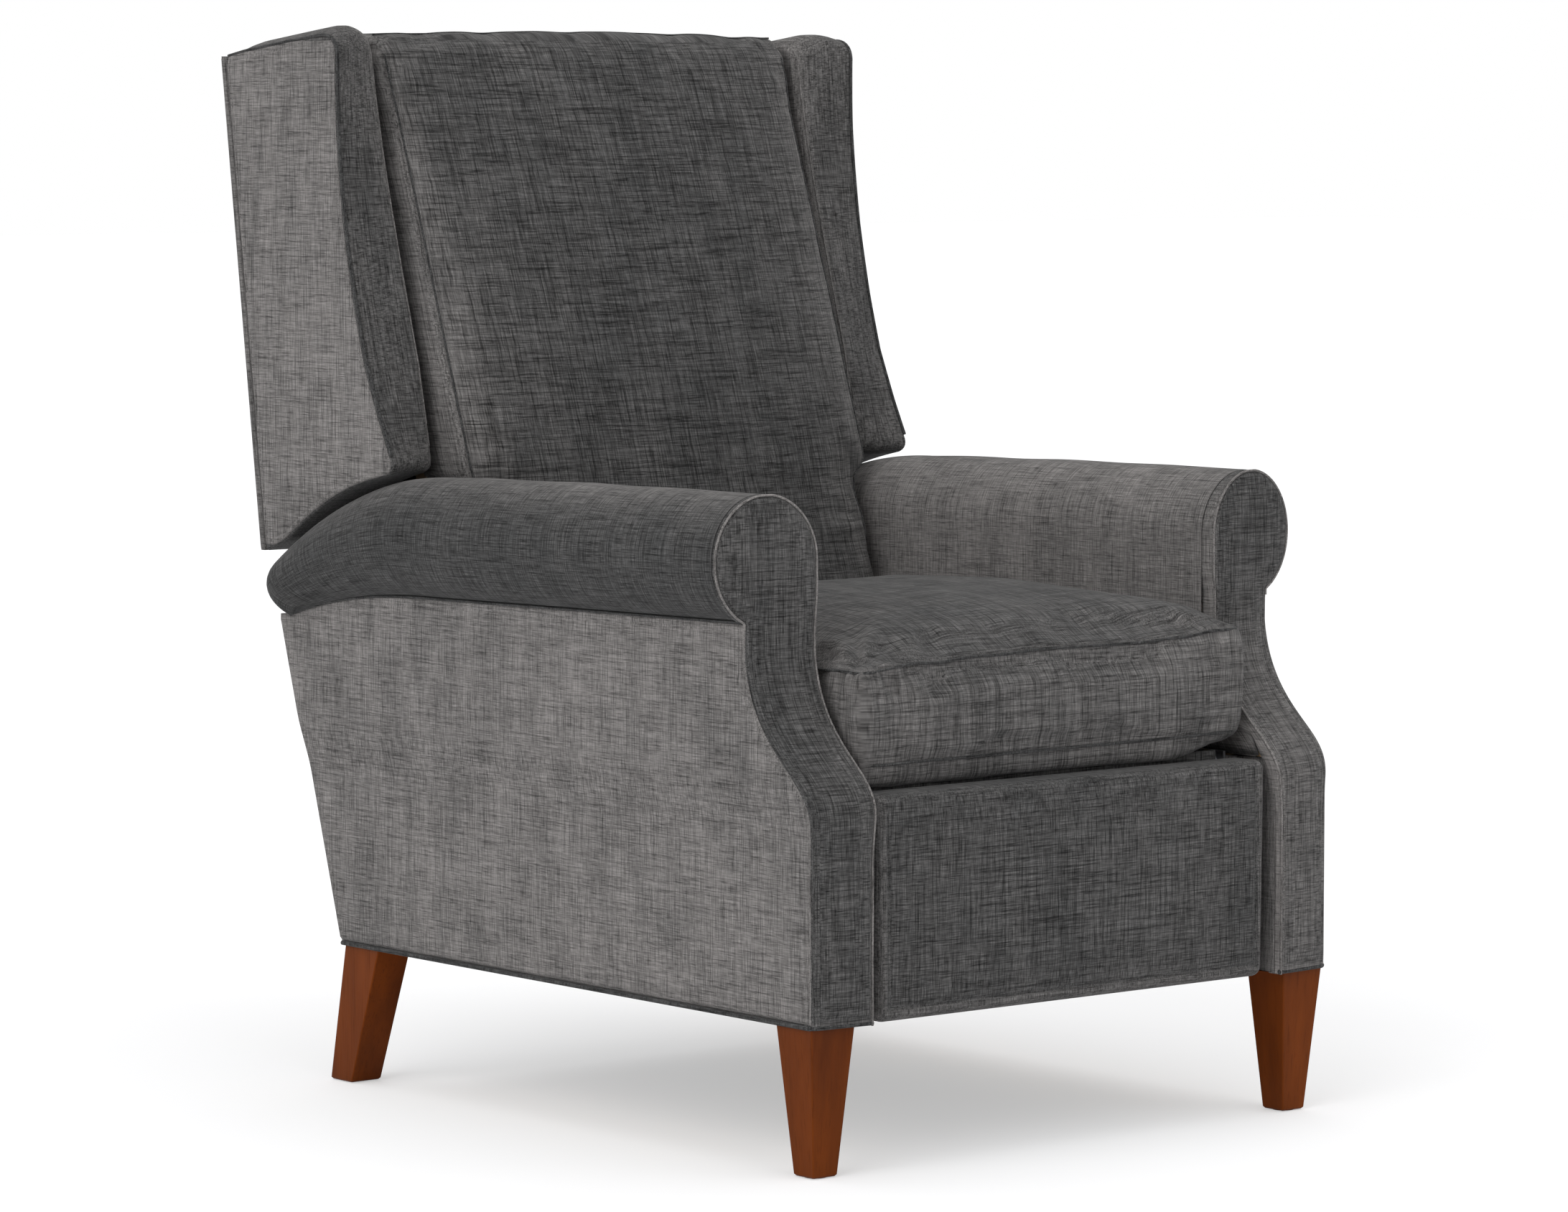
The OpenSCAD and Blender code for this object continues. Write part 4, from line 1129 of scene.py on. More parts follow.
class RECLINER_OT_wings(bpy.types.Operator):
    """Make both padded wings with their flat outside panels"""

    bl_idname = "recliner.wings"
    bl_label = "Wings"

    def execute(self, context):
        outline = wing_outline()
        rows = rows_of(outline, 220)
        panel_rows = rows_of(outline, 200) + (0, 0.0035, -0.001)
        inside = (panel_rows[:, 0] > rows[0, 0] + 0.0035) & (panel_rows[:, 0] < rows[-1, 0] - 0.0030)
        panel_rows = panel_rows[inside & (panel_rows[:, 2] - panel_rows[:, 1] > 0.01)]
        # The welt leaves out the rear, the lower edge and the tip, the outline's last 150 points
        around = resample(outline[: len(outline) - 150], 460)
        high = np.linspace(0.675, WING_HIGH.z - 0.030, 200)
        for side, sign in SIDES:
            bend = wing_bend(DOME[side])
            wing = padded_plate(
                f"{side}_wing", rows, at_height(WING_IN), at_height(WING_OUT - 0.0015),
                from_side(sign), wing_painted_light, 0.004, 110, 0.012, bend=bend, rim_cuts=10)
            straightened(wing, lambda p: wing_front_depth(p[:, 2]))
            dress(wing, "back", [f"{side}_wing_pad"])
            panel = padded_plate(
                f"{side}_wing_outside", panel_rows, at_height(WING_OUT - 0.006),
                at_height(WING_OUT - 0.0006), from_side(sign), OUTSIDE_PAINTED_LIGHT, 0.0025, 100, 0.001,
                lambda a, b, dist: groove(dist, 0.0055, 0.0006, 0.0012) + 0.001 * smooth(dist / 0.06), bend)
            dress(panel, "back")
            edge = in_space(sign * (WING_OUT - 0.0022), *around.T)
            dress(tube(f"{side}_wing_welt", bend(edge), WING_WELT_R), "back")
            edge = in_space(sign * (WING_IN + 0.006), wing_front_depth(high) + 0.0035, high)
            seam = snapped(wing, bend(edge), 0.0)
            dress(tube(f"{side}_wing_inner_seam", seam, WING_SEAM_R, WING_SEAM_PAINTED_LIGHT), "back")
        return {"FINISHED"}


def super_ring(count, power):
    """A rounded square of half size 1, evenly stepped: small powers of an angle's cosine and sine."""
    a = np.linspace(0, 2 * math.pi, 2000, endpoint=False)
    p = np.stack([np.sign(c) * np.abs(c) ** power for c in (np.cos(a), np.sin(a))], 1)
    return resample(np.vstack([p, p[:1]]), count + 1)[:-1]


def swell(piece, voxel, caps, limit):
    """Fills a pad: a cloth run under pressure. Each point then moves no further than caps says for its
    place, and stays where limit lets it."""
    scene = bpy.context.scene
    with bpy.context.temp_override(object=piece, active_object=piece, selected_objects=[piece]):
        remesh = piece.modifiers.new("voxels", "REMESH")
        remesh.mode = "VOXEL"
        remesh.voxel_size = voxel
        bpy.ops.object.modifier_apply(modifier=remesh.name)
    before = np.array([v.co for v in piece.data.vertices])
    cloth = piece.modifiers.new("fill", "CLOTH")
    cloth.settings.use_pressure = True
    cloth.settings.uniform_pressure_force = 4.0
    cloth.settings.effector_weights.gravity = 0.0
    cloth.settings.tension_stiffness = 25
    cloth.settings.bending_stiffness = 1.2
    cloth.point_cache.frame_start = 1
    cloth.point_cache.frame_end = FILL_FRAMES
    for frame_number in range(1, FILL_FRAMES + 1):
        scene.frame_set(frame_number)
    evaluated = piece.evaluated_get(bpy.context.evaluated_depsgraph_get())
    after = np.array([v.co for v in evaluated.data.vertices])
    piece.modifiers.remove(cloth)
    scene.frame_set(1)
    move = after - before
    length = np.linalg.norm(move, axis=1)[:, None]
    move = move * np.minimum(1, caps(before)[:, None] / np.maximum(length, 1e-9))
    piece.data.vertices.foreach_set("co", limit(before + move).astype(np.float32).ravel())
    shaded(piece, True)
    piece.data.update()
    return piece


def finished(cushion, seams, body, node):
    """Subdivides a cushion once, the same in the view and the render, then dresses it and its seams."""
    rounder = cushion.modifiers.new("smooth", "SUBSURF")
    rounder.levels = 1
    rounder.render_levels = 1
    dress(cushion, body, [node])
    for seam in seams:
        dress(seam, body)


def pulled(piece, knots, reach, depth, folds):
    """Fans of small folds that run out from where the cloth is pulled, such as a cushion's corners.
    Round each knot the skin moves along its normals by the product of two waves in the angle, which
    fades with the distance from the knot and from the fan's plane."""
    places, normals = surface(piece)
    shift = np.zeros(len(places))
    for knot, side_way, up_way, phase, gain in knots:
        away = places - np.array(knot)
        across_it, along_it = away @ np.array(side_way), away @ np.array(up_way)
        far = np.hypot(across_it, along_it)
        turn = np.arctan2(along_it, across_it)
        fade = np.exp(-((far / reach) ** 1.5)) * smooth(far / 0.012)
        near = np.exp(-((np.abs(away @ np.cross(side_way, up_way)) / 0.05) ** 2))
        waves = np.sin(folds * turn + phase + 9 * far) * np.sin(2.3 * turn + phase)
        shift += gain * depth * fade * near * waves
    piece.data.vertices.foreach_set("co", (places + normals * shift[:, None]).ravel())
    piece.data.update()
    return piece


def seat_limit(points):
    """Keeps the seat cushion on its deck, clear of the arms and over the footrest's edge."""
    p = np.array(points, float)
    half_w = SEAT_HIGH.x + 0.0045
    floor_z = np.where(p[:, 1] > DECK_FRONT - 0.001, SEAT_LOW.z + 0.0003, LIP_Z)
    p[:, 0] = np.clip(p[:, 0], -half_w, half_w)
    p[:, 1] = np.clip(p[:, 1], SEAT_LOW.y - 0.0022, SEAT_HIGH.y + 0.002)
    p[:, 2] = np.maximum(p[:, 2], floor_z)
    return p


def seat_caps(points):
    """How far the filling may move the seat cushion: little at its corners and its underside."""
    mid_y, half_l = (SEAT_HIGH.y + SEAT_LOW.y) / 2, (SEAT_HIGH.y - SEAT_LOW.y) / 2
    corner = np.abs(points[:, 0] / SEAT_HIGH.x) * np.abs((points[:, 1] - mid_y) / half_l)
    cap = 0.012 * (1 - 0.85 * smooth((corner - 0.70) / 0.20))
    return np.where(points[:, 2] < SEAT_LOW.z + 0.020, 0.0015, cap)


def seat_painted_light(places, normals):
    """The boxing is painted lit and the top painted darker, as the pile catches the light, and both are
    painted lighter where they face the key lamp on the left.
    """
    upright = 1 - np.abs(normals[:, 2])
    return 0.11 + 0.19 * smooth(upright * 1.3) + 0.25 * np.clip(-normals[:, 0], 0, 1)


class RECLINER_OT_seat_cushion(bpy.types.Operator):
    """Make the loose boxed seat cushion, crowned above and below, with its seams"""

    bl_idname = "recliner.seat_cushion"
    bl_label = "Seat cushion"

    UNDER_SHARES = (
        0.02, 0.15, 0.3, 0.45, 0.6, 0.72, 0.82, 0.88, 0.905, 0.92, 0.935, 0.95, 0.962, 0.974, 0.985, 0.992)
    TOP_SHARES = (0.99, 0.974, 0.95, 0.9, 0.85, 0.78, 0.7, 0.6, 0.5, 0.4, 0.3, 0.2, 0.1, 0.02)

    def execute(self, context):
        sizes = context.scene.recliner_sizes
        low, high = SEAT_LOW, SEAT_HIGH
        half_w = high.x
        rings = [self.under(share) for share in self.UNDER_SHARES]
        for t in np.linspace(0, 1, 14):
            bulge = 0.004 * math.sin(math.pi * t) ** 0.8
            z = SEAT_BOX_LOW + (SEAT_BOX_HIGH - SEAT_BOX_LOW) * t
            rings.append(self.level(0.995 + bulge / half_w, z, SEAT_ARCH * t))
        for share in self.TOP_SHARES:
            rings.append(self.level(share, SEAT_BOX_HIGH + sizes.seat_crown * (1 - share**2.4), SEAT_ARCH))
        cushion = lofted("seat_cushion_cover", rings)
        swell(cushion, SEAT_VOXEL, seat_caps, seat_limit)
        knots = []
        for x in (-1, 1):
            side_x = x * (half_w - 0.010)
            front, rear = (side_x, low.y + 0.012, SEAT_BOX_HIGH), (side_x, high.y - 0.015, SEAT_BOX_HIGH)
            edge = (x * (half_w - 0.004), low.y + 0.001, SEAT_BOX_HIGH - 0.004)
            knots.append((front, (-x, 0, 0), (0, 1, 0), 0.6 + x, 1.35 - 0.35 * x))
            knots.append((rear, (-x, 0, 0), (0, -1, 0), 1.7 + x, 1))
            knots.append((edge, (-x, 0, 0), (0, 0, -1), 0.2 + x, 0.7))
        pulled(cushion, knots, 0.110, 0.0036, 11)
        with_painted_light(cushion, seat_painted_light)
        rim_x, rim_z = half_w - 0.010, SEAT_BOX_HIGH + 0.002
        straightened(cushion, lambda p: 0, (-rim_x, low.y + 0.010, -9), (rim_x, 9, rim_z))
        seams = []
        for part, z, arch in (("top", SEAT_BOX_HIGH, SEAT_ARCH), ("low", SEAT_BOX_LOW, 0.0)):
            path = snapped(cushion, resample(self.level(0.998, z, arch), 500), 0.0005)
            seams.append(tube(f"seat_{part}_seam", path, sizes.welt_radius * 1.25, closed=True))
        finished(cushion, seams, "seat", "seat_cushion")
        return {"FINISHED"}

    def level(self, s, z, arch=0.0):
        """A ring of the cushion at a share s of its size. Its sides pull in a little between the corners,
        the seams rise between them too, and the cushion leans a little to the left."""
        half_w, half_l = SEAT_HIGH.x, (SEAT_HIGH.y - SEAT_LOW.y) / 2
        ring = super_ring(304, 0.03)
        u, v = ring[:, 0], ring[:, 1]
        x = u * half_w * s - np.sign(u) * 0.004 * s * (1 - v**2) * (np.abs(u) > 0.9)
        y = v * half_l * s - np.sign(v) * 0.003 * s * (1 - u**2) * (np.abs(v) > 0.9)
        to_right, to_left = smooth(u * s), smooth((-u * s - 0.6) / 0.4)
        lean = (0.010 * to_right - 0.007 * to_left) * min((z - SEAT_LOW.z) / SEAT_EDGE, 1)
        rise = arch * (1 - np.abs(u * v)) * s
        return np.stack([x, (SEAT_HIGH.y + SEAT_LOW.y) / 2 + y, z + rise + lean], 1)

    def under(self, share):
        """A ring of the underside. Over the footrest its front edge rounds down in a quarter of an
        ellipse, the lip, which thins out towards the right corner."""
        ring = self.level(share, SEAT_LOW.z + 0.0005 + SEAT_FOOT * share**14)
        behind = np.clip((ring[:, 1] - SEAT_LOW.y - 0.0015) / LIP_REACH, 0, 1)
        lip = LIP_Z + 0.0004 + (SEAT_BOX_LOW - LIP_Z) * (1 - np.sqrt(1 - (1 - behind) ** 2))
        at_front = smooth((DECK_FRONT - 0.001 - ring[:, 1]) / 0.003) * smooth((0.250 - ring[:, 0]) / 0.090)
        ring[:, 2] = ring[:, 2] + (lip - ring[:, 2]) * at_front
        return ring


def rounded_section(half, front, back, front_r, back_r, crown, n=60):
    """A back cushion's section as (across, depth): a crowned face, rounded corners, boxing, a flat rear."""
    face_x = np.linspace(-(half - front_r), half - front_r, n)
    face = np.stack([face_x, front - crown * (1 - (face_x / half) ** 2)], 1)
    a = np.linspace(-math.pi / 2, 0, 9)[1:]
    lift = crown * (1 - ((half - front_r) / half) ** 2)
    depth = front + front_r + front_r * np.sin(a) - lift * np.cos(a)
    front_corner = np.stack([half - front_r + front_r * np.cos(a), depth], 1)
    depth = np.linspace(front + front_r, back - back_r, 12)[1:-1]
    bulge = 0.002 * np.sin(math.pi * (depth - depth[0]) / (depth[-1] - depth[0]))
    boxing = np.stack([half + bulge, depth], 1)
    a = np.linspace(0, math.pi / 2, 9)
    back_corner = np.stack([half - back_r + back_r * np.cos(a), back - back_r + back_r * np.sin(a)], 1)
    rear_x = np.linspace(half - back_r, -(half - back_r), n // 2)[1:-1]
    rear = np.stack([rear_x, np.full_like(rear_x, back)], 1)
    side = np.vstack([front_corner, boxing, back_corner])
    return np.vstack([face, side, rear, side[::-1] * [-1, 1]])


def back_half(z):
    """Half the back cushion's width at height z: it fits between the arms and then between the wings."""
    return BACK_NARROW + (BACK_WIDE - BACK_NARROW) * smooth((z - ARM_H + 0.035) / 0.028)


def back_caps(points):
    """How far the filling may move the back cushion: less at its four corners."""
    rise = np.abs((points[:, 2] - (BACK_LOW.z + BACK_HIGH.z) / 2) / ((BACK_HIGH.z - BACK_LOW.z) / 2))
    corner = np.abs(points[:, 0] / BACK_WIDE) * rise
    return 0.010 * (1 - 0.8 * smooth((corner - 0.75) / 0.18))


def back_limit(points):
    """Keeps the back cushion between the arms and the wings, ahead of the webbing."""
    p = np.array(points, float)
    half = back_half(p[:, 2]) + 0.0012
    rear = face_depth(p[:, 2]) + BACK_THICK + 0.0015 - HALF_DEPTH
    p[:, 0] = np.clip(p[:, 0], -half, half)
    p[:, 1] = np.minimum(p[:, 1], rear)
    p[:, 2] = np.maximum(p[:, 2], BACK_LOW.z)
    return p


def back_painted_light(places, normals):
    """The face is painted in shade, dark, and its sides and top edge are painted a little lit; at the sides
    the painted light eases the shade in the gap beside the wings.
    """
    # Painted light near the sides, against the shade between the cushion and the wings
    painted_edge_light = smooth((np.abs(places[:, 0]) - 0.238) / 0.030)
    return 0.03 + 0.42 * np.abs(normals[:, 0]) + 0.10 * np.clip(normals[:, 2], 0, 1) + 0.05 * painted_edge_light


def top_line(x, z):
    """The height of a level of the back cushion at a distance across: its top rises in the middle."""
    return z + (TOP_RISE - TOP_FALL * (x / 0.265) ** 2) * smooth((z - 0.90) / 0.20)


class RECLINER_OT_back_cushion(bpy.types.Operator):
    """Make the crowned back cushion with its boxed sides"""

    bl_idname = "recliner.back_cushion"
    bl_label = "Back cushion"

    def execute(self, context):
        crown = context.scene.recliner_sizes.back_crown
        z0, z1 = BACK_LOW.z + 0.001, BACK_HIGH.z + 0.001
        rings = []
        for t in across(120, 0.8):
            z = z0 + (z1 - z0) * t
            near = min(t, 1 - t) * (z1 - z0)
            e = max(0.0, 1 - near / BACK_ROUND)
            shrink = BACK_ROUND * (1 - math.sqrt(max(1e-4, 1 - e * e)))
            half = float(back_half(z)) - shrink * 0.35
            crown_here = crown * math.sin(math.pi * min(max(t, 0.02), 0.98)) ** 0.55
            section = rounded_section(half, shrink, BACK_THICK - shrink, BOXING_R, 0.016, crown_here)
            rings.append(in_space(section[:, 0], face_depth(z) + section[:, 1], top_line(section[:, 0], z)))
        cushion = lofted("back_cushion_cover", rings)
        swell(cushion, BACK_VOXEL, back_caps, back_limit)
        knots = []
        top_y = float(face_depth(z1 - 0.03)) - HALF_DEPTH
        low_y = float(face_depth(0.57)) - HALF_DEPTH
        for x in (-1, 1):
            corner = (x * (BACK_WIDE - 0.020), top_y + 0.004, z1 - 0.028)
            knots.append((corner, (-x, 0, 0), (0, 0, -1), 0.9 + 2 * x, 1))
            knots.append(((x * 0.09, top_y - 0.020, z1 - 0.012), (x, 0, 0), (0, 0, -1), 2.1 + x, 0.6))
            corner = (x * (BACK_NARROW - 0.010), low_y - 0.004, 0.575)
            knots.append((corner, (-x, 0, 0), (0, 0, 1), 0.4 + x, 1))
        pulled(cushion, knots, 0.075, 0.0028, 9)
        with_painted_light(cushion, back_painted_light)
        rim_x, rim_z = BACK_WIDE - 0.010, z1 - 0.010
        low_rim, high_rim = (-rim_x, 0.004, -9), (rim_x, 9, rim_z)
        straightened(cushion, lambda p: face_depth(p[:, 2]) - HALF_DEPTH, low_rim, high_rim)
        paths = []
        z = np.linspace(0.560, z1 - 0.022, 150)
        for side, sign in SIDES:
            edge_x = sign * (back_half(z) - BOXING_R + 0.002)
            edge = in_space(edge_x, face_depth(z) - 0.002, top_line(BACK_WIDE, z))
            paths.append((f"back_{side}_seam", resample(edge, 260)))
        x = np.linspace(-BACK_WIDE + 0.012, BACK_WIDE - 0.012, 160)
        paths.append(("back_top_seam", in_space(x, face_depth(z1) + 0.012, top_line(x, z1 + 0.002))))
        seams = [tube(name, snapped(cushion, path, 0.0001), BACK_SEAM_R) for name, path in paths]
        finished(cushion, seams, "back", "back_cushion")
        return {"FINISHED"}


class RECLINER_OT_outside_back(bpy.types.Operator):
    """Make the outside back with its skirt, the top panel and the base's rear panel"""

    bl_idname = "recliner.outside_back"
    bl_label = "Outside back"

    def execute(self, context):
        top = SKIN_HIGH.z - 0.0005
        z = np.concatenate([
            np.arange(SKIN_LOW.z, WING_LOW.z - 0.001, 0.006), [WING_LOW.z - 0.0005, WING_LOW.z + 0.0005],
            np.arange(WING_LOW.z + 0.006, top, 0.006), [top]])
        half = np.where(z < WING_LOW.z, INNER_HALF - 0.008, WING_OUT - 0.0006)
        skirt0 = rear_depth(SKIN_LOW.z) - 0.014

        def rear(a, b):
            rise = (b - SKIN_LOW.z) / (WING_LOW.z - SKIN_LOW.z)
            return np.where(b < WING_LOW.z, skirt0 + (WING_REAR_LOW - skirt0) * rise, wing_rear(b))

        panel = padded_plate(
            "outside_back_cover", level_rows(z, -half, half), lambda a, b: rear(a, b) - SKIN_T, rear,
            lambda a, b, h: (a, h - HALF_DEPTH, b), BACK_PAINTED_LIGHT, 0.005, 120, 0.001,
            lambda a, b, dist: groove(dist, 0.010, 0.0008, 0.0016) + 0.001 * smooth(dist / 0.08))
        straightened(panel, lambda p: rear(p[:, 0], p[:, 2]))
        dress(panel, "back", ["outside_back"])
        low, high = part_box("back_top_panel")

        def top_height(a, b):
            return high.z - (high.z - 0.010 - low.z) * (b - low.y) / (high.y - low.y)

        lid = padded_plate(
            "back_top_cover", level_rows(np.linspace(low.y, high.y, 30), low.x, high.x),
            lambda a, b: top_height(a, b) - 0.010, top_height, lambda a, b, h: (a, b, h), LID_PAINTED_LIGHT, 0.004, 80)
        dress(lid, "back", ["back_top_panel"])
        low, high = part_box("rear_panel")
        skirt = padded_plate(
            "base_rear_cover", level_rows(np.linspace(low.z, high.z, 40), low.x, high.x),
            at_height(low.y), at_height(high.y), lambda a, b, h: (a, h, b), SKIRT_PAINTED_LIGHT, 0.003, 90)
        dress(skirt, "base", ["rear_panel"])
        return {"FINISHED"}


def footrest_painted_light(places, normals):
    """The footrest is painted in shade, dark; its sewn border is a shade lighter."""
    edge = np.minimum(REST_HIGH.x - np.abs(places[:, 0]), places[:, 2] - REST_LOW.z)
    return 0.10 + 0.16 * smooth(1 - (edge - 0.010) / 0.004)


class RECLINER_OT_footrest(bpy.types.Operator):
    """Make the padded footrest front with its sewn border"""

    bl_idname = "recliner.footrest"
    bl_label = "Footrest"

    def execute(self, context):
        low, high = REST_LOW, REST_HIGH
        board_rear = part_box("footrest_board")[1].y
        corner = 0.010
        z = low.z + (high.z - low.z) * across(120, 0.75)
        from_end = np.minimum(z - low.z, high.z - z)
        rounding = corner - np.sqrt(np.maximum(corner**2 - np.clip(corner - from_end, 0, corner) ** 2, 0))
        narrow = 0.003 * (1 - (z - low.z) / (high.z - low.z)) + rounding

        def face(a, b):
            u, v = a / high.x, (b - (low.z + high.z) / 2) / ((high.z - low.z) / 2)
            return -low.y - 0.005 + 0.005 * (1 - u**4) * (1 - v**4)

        def relief(a, b, dist):
            # The sewn border runs down both sides and along the foot, not along the top
            sewn = smooth((high.z - 0.012 - b) / 0.010)
            swelling = 0.0009 * smooth(1 - np.abs(dist - 0.007) / 0.006)
            return sewn * (groove(dist, 0.013, 0.0016, 0.0018) + swelling)

        rows = level_rows(z, low.x + narrow, high.x - narrow)
        pad = padded_plate(
            "footrest_cover", rows, at_height(-(board_rear - 0.0004)), face, lambda a, b, h: (a, -h, b),
            footrest_painted_light, 0.009, 150, 0.003, relief, rim_cuts=4)
        dress(pad, "footrest", ["footrest_pad"])
        return {"FINISHED"}


def leg_ring(centre, half, z, radius, n=6):
    """A square section with rounded corners at one height."""
    points = []
    for k, (sx, sy) in enumerate(((1, 1), (-1, 1), (-1, -1), (1, -1))):
        for a in np.linspace(0, math.pi / 2, n):
            b = a + k * math.pi / 2
            x = centre[0] + sx * (half[0] - radius) + radius * math.cos(b)
            y = centre[1] + sy * (half[1] - radius) + radius * math.sin(b)
            points.append((x, y, z))
    return np.array(points)


class RECLINER_OT_legs(bpy.types.Operator):
    """Make the four tapered stained legs"""

    bl_idname = "recliner.legs"
    bl_label = "Legs"

    def execute(self, context):
        bevel = context.scene.recliner_sizes.leg_bevel
        for name in ("front_left_leg", "front_right_leg", "rear_left_leg", "rear_right_leg"):
            co = np.array([v.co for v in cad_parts[name].data.vertices])
            top, foot = co[co[:, 2] > co[:, 2].max() - 0.0002], co[co[:, 2] < co[:, 2].min() + 0.0002]
            z0, z1 = foot[:, 2].min(), top[:, 2].max()
            rings = []
            for t in (0.0, FOOT_SHARE, 0.03, *np.linspace(0.06, 0.98, 24), 1.0):
                centre = (1 - t) * (foot.min(0) + foot.max(0)) / 2 + t * (top.min(0) + top.max(0)) / 2
                half = (1 - t) * (foot.max(0) - foot.min(0)) / 2 + t * (top.max(0) - top.min(0)) / 2
                inset = FOOT_INSET * max(0.0, 1 - t / FOOT_SHARE)
                rings.append(leg_ring(centre, half - inset, z0 + (z1 - z0) * t, bevel))
            leg = shaded(lofted(name + "_wood", rings, key="legs"), False)
            dress(leg, "base", [name])
        return {"FINISHED"}


class RECLINER_OT_cloths(bpy.types.Operator):
    """Make the stretched cloths: the dust cover, the deck cloth and the back's webbing"""

    bl_idname = "recliner.cloths"
    bl_label = "Stretched cloths"

    def execute(self, context):
        base = ["left_side_frame", "right_side_frame", "front_rail", "rear_rail"]
        self.sheet("dust_cover_cloth", "base", "dust_cover", "black", 0.0006, -0.0005, base)
        seat = ["seat_springs", "seat_frame"]
        self.sheet("deck_cloth", "seat", "seat_deck", "deck", 0.0012, -0.0012, seat)
        self.deck_band()
        self.webs()
        return {"FINISHED"}

    def sheet(self, name, body, node, key, thick, sag, rests_on):
        """A level cloth with a soft sag in its middle, two skins closed round the edge."""
        low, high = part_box(node)
        gx, gy = np.meshgrid(np.linspace(low.x, high.x, 90), np.linspace(low.y, high.y, 90))
        u, v = gx / high.x, (gy - (low.y + high.y) / 2) / ((high.y - low.y) / 2)
        level = (low.z + high.z) / 2 + sag * (1 - u**2) * (1 - v**2) * 0.8
        skins = [np.stack([gx, gy, level + h], -1) for h in (thick / 2, -thick / 2)]
        cloth = tidy_normals(new_object(name, *two_skins(*skins), material(key)))
        dress(cloth, body, [node])
        stretched(high.x - low.x, rests_on)

    def deck_band(self):
        """The deck's front edge, which turns down over the seat frame."""
        low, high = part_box("seat_frame")
        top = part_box("seat_deck")[1].z
        rows = level_rows(np.linspace(low.z + 0.001, top - 0.0002, 30), low.x, high.x)
        band = padded_plate(
            "deck_front_band", rows, at_height(-(low.y - 0.0002)), at_height(-(low.y - 0.0008)),
            lambda a, b, h: (a, -h, b), BAND_PAINTED_LIGHT, 0.0002, 60)
        dress(band, "seat")
        stretched(high.x - low.x, ["seat_frame"])

    def webs(self):
        """Elastic webs across the back frame: they follow its lean and bow back a little in the middle."""
        low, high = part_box("back_webbing")
        for k in range(WEB_COUNT):
            bottom = low.z + (high.z - WEB_H - low.z) * k / (WEB_COUNT - 1)
            rows = level_rows(bottom + np.linspace(0.0004, WEB_H - 0.0004, 14), low.x, high.x)

            def front(a, b):
                return -(face_depth(b) + WEB_FRONT + 0.0006 * (1 - (a / high.x) ** 2))

            web = padded_plate(
                f"back_web_{k + 1}", rows, lambda a, b: front(a, b) - WEB_T, front,
                lambda a, b, h: (a, -h - HALF_DEPTH, b), 0.0, 0.0003, 60, key="black")
            dress(web, "back", ["back_webbing"] if k == 0 else ())
            stretched(high.x - low.x, ["back_frame"])


FINISHES = {
    "frame": [
        "left_side_frame", "right_side_frame", "front_rail", "rear_rail", "corner_blocks", "seat_frame",
        "back_frame", "left_wing_core", "right_wing_core", "footrest_board"],
    "steel": [
        "leg_bolts", "left_side_plate", "right_side_plate", "seat_rails", "frame_pins", "back_pivot_bolts",
        "seat_runners", "seat_springs", "left_back_lever", "right_back_lever", "left_drive_link",
        "right_drive_link", "drive_pins", "drive_tube", "left_lift_link", "right_lift_link", "lift_pins",
        "left_guide_link", "right_guide_link", "left_control_link", "right_control_link",
        "left_footrest_bracket", "right_footrest_bracket", "bracket_pins"],
    "plastic": ["leg_glides"],
}


class RECLINER_OT_frame_finishes(bpy.types.Operator):
    """Give the timber, steel and plastic nodes their finishes"""

    bl_idname = "recliner.frame_finishes"
    bl_label = "Frame finishes"

    def execute(self, context):
        for key, names in FINISHES.items():
            for name in names:
                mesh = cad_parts[name].data
                mesh.materials.clear()
                mesh.materials.append(material(key))
        return {"FINISHED"}


PHOTO_WIDTH = 2184
FOCAL_PX = 8306
SENSOR_MM = 36.0
CAMERA_AZ = math.radians(-39.25)
CAMERA_EL = math.radians(4.66)
CAMERA_PLACE = (-3.928, -4.836, 1.014)
# Each lamp's name, place, angle in degrees and strength
LAMPS = (
    ("key", (-5.0, -1.2, 3.2), 50, 1.5),
    ("fill", (1.2, -5.0, 3.4), 60, 0.7),
    ("top", (0.4, 0.8, 5.0), 70, 1.3),
)
WORLD_LIGHT = 0.55
FLOOR_GLOW = 0.42
FLOOR_HALF = 40.0


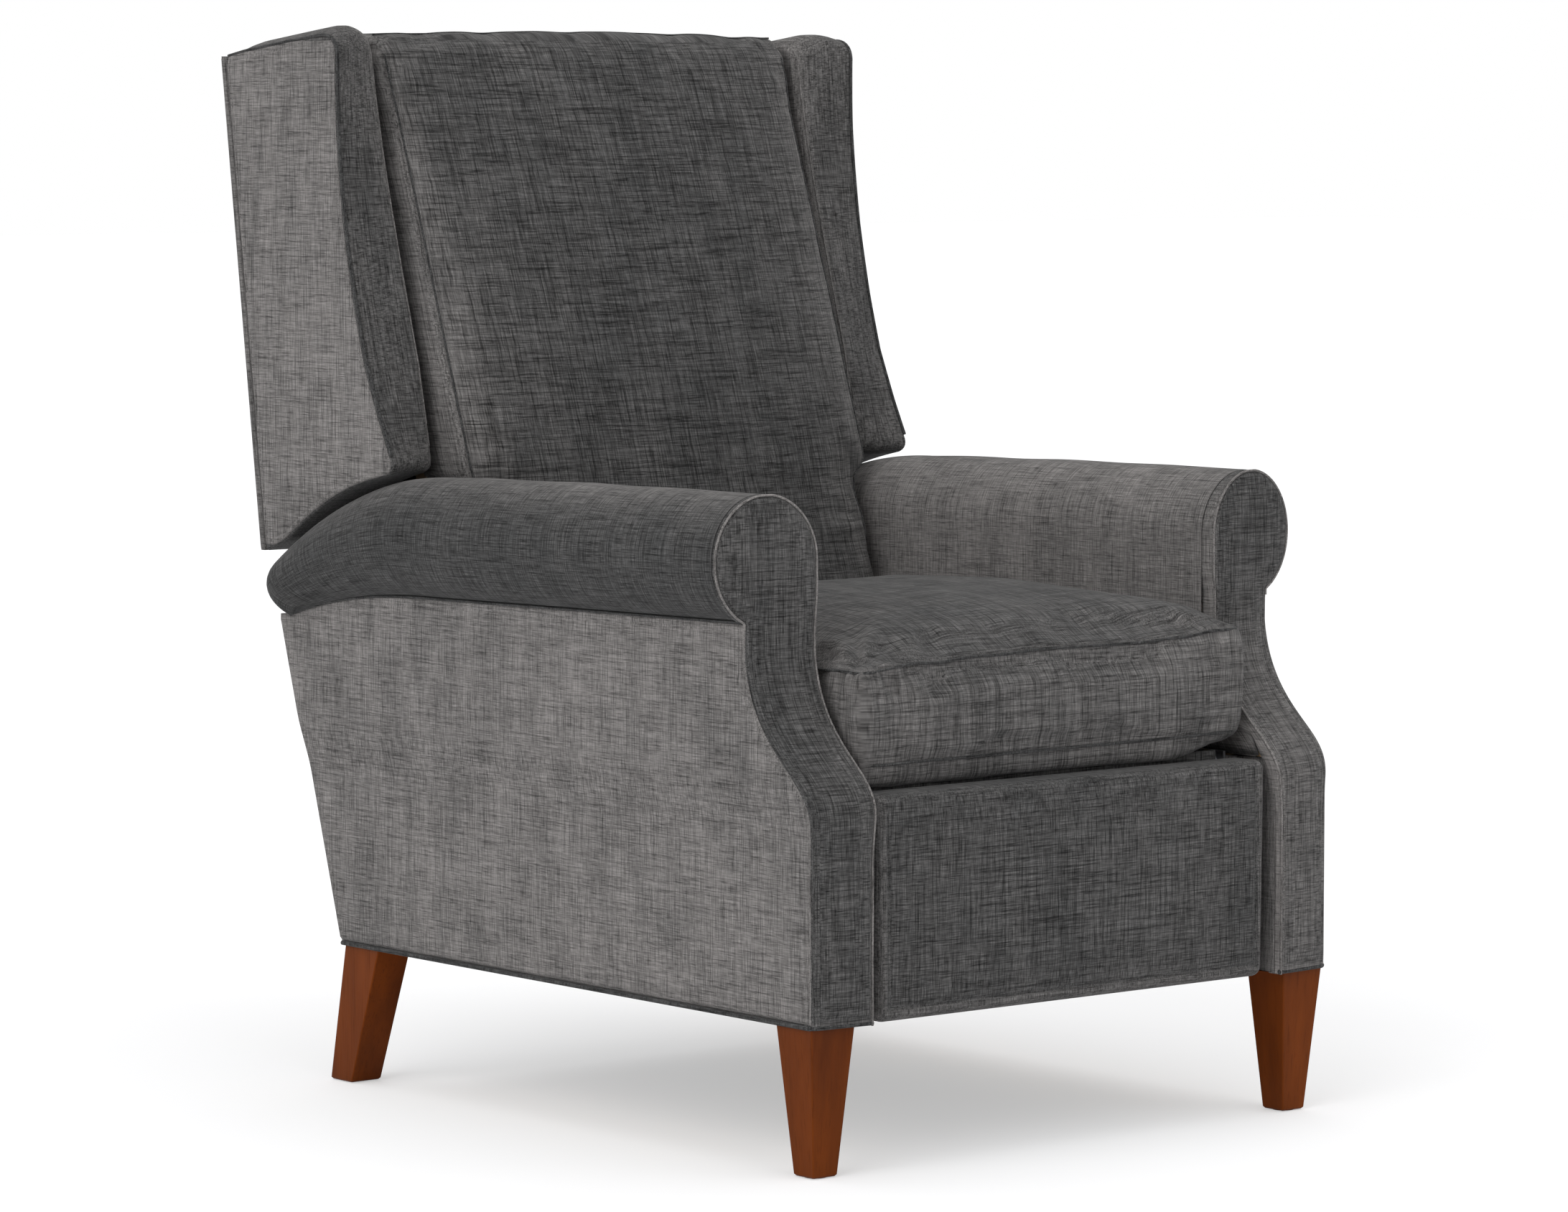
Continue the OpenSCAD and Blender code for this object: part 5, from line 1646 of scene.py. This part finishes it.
class RECLINER_OT_stage(bpy.types.Operator):
    """Set the camera, the lamps and the pale floor"""

    bl_idname = "recliner.stage"
    bl_label = "Studio"

    def execute(self, context):
        scene = context.scene
        scene.view_settings.view_transform = "Standard"
        lens = bpy.data.cameras.new("camera")
        lens.sensor_fit = "HORIZONTAL"
        lens.sensor_width = SENSOR_MM
        lens.lens = SENSOR_MM * FOCAL_PX / PHOTO_WIDTH
        lens.clip_end = 100
        level = math.cos(CAMERA_EL)
        look = (-math.sin(CAMERA_AZ) * level, math.cos(CAMERA_AZ) * level, -math.sin(CAMERA_EL))
        scene.camera = self.aimed("camera", lens, CAMERA_PLACE, look)
        for name, place, angle, strength in LAMPS:
            light = bpy.data.lights.new(name, "SUN")
            light.angle, light.energy = math.radians(angle), strength
            self.aimed(name, light, place, -Vector(place))
        self.world(scene)
        self.floor()
        return {"FINISHED"}

    def aimed(self, name, data, place, look):
        """A camera or lamp at a place, turned to look along a direction."""
        thing = bpy.data.objects.new(name, data)
        bpy.context.scene.collection.objects.link(thing)
        turn = Vector(look).to_track_quat("-Z", "Y").to_matrix().to_4x4()
        thing.matrix_world = Matrix.Translation(place) @ turn
        return thing

    def world(self, scene):
        """A dim white surround that lights the chair, and a full white one for the camera."""
        tree = Tree("studio", world=True)
        scene.world = tree.owner
        seen = tree.ray("Is Camera Ray").largest(tree.ray("Is Transmission Ray"))
        dim, white = (tree.glow("ShaderNodeBackground", light) for light in (WORLD_LIGHT, 1.0))
        tree.end(seen, dim, white)

    def floor(self):
        """A pale floor that takes the shadow, and to the camera glows a little."""
        tree = Tree("pale_floor")
        tree.set(Base_Color=(0.9, 0.9, 0.91, 1), Roughness=0.9, Specular_IOR_Level=0.1)
        share = tree.ray("Is Camera Ray") * FLOOR_GLOW
        tree.end(share, Wire(tree, tree.shader.outputs[0]), tree.glow("ShaderNodeEmission", 1.0))
        s = FLOOR_HALF
        points = [(-s, -s, 0), (s, -s, 0), (s, s, 0), (-s, s, 0)]
        new_object("floor", points, [[0, 1, 2, 3]], tree.owner, False)


OPERATORS = (
    RECLINER_OT_stage,
    RECLINER_OT_arm_fronts,
    RECLINER_OT_arm_covers,
    RECLINER_OT_outside_arms,
    RECLINER_OT_wings,
    RECLINER_OT_back_cushion,
    RECLINER_OT_outside_back,
    RECLINER_OT_seat_cushion,
    RECLINER_OT_footrest,
    RECLINER_OT_legs,
    RECLINER_OT_cloths,
    RECLINER_OT_frame_finishes,
)


class RECLINER_PT_panel(bpy.types.Panel):
    """The recliner's operators"""

    bl_label = "High leg recliner"
    bl_idname = "RECLINER_PT_panel"
    bl_space_type = "VIEW_3D"
    bl_region_type = "UI"
    bl_category = "Recliner"

    def draw(self, context):
        for group in (context.scene.recliner_sizes, context.scene.recliner_colours):
            box = self.layout.box()
            for key in group.__annotations__:
                box.prop(group, key)
        for operator in OPERATORS:
            self.layout.operator(operator.bl_idname)


CLASSES = (ReclinerSizes, ReclinerColours, *OPERATORS, RECLINER_PT_panel)


def register():
    for cls in CLASSES:
        bpy.utils.register_class(cls)
    bpy.types.Scene.recliner_sizes = bpy.props.PointerProperty(type=ReclinerSizes)
    bpy.types.Scene.recliner_colours = bpy.props.PointerProperty(type=ReclinerColours)


def unregister():
    del bpy.types.Scene.recliner_sizes
    del bpy.types.Scene.recliner_colours
    for cls in reversed(CLASSES):
        bpy.utils.unregister_class(cls)


def main():
    register()
    for operator in OPERATORS:
        category, name = operator.bl_idname.split(".")
        getattr(getattr(bpy.ops, category), name)()
    bpy.context.view_layer.update()


if __name__ == "__main__":
    main()
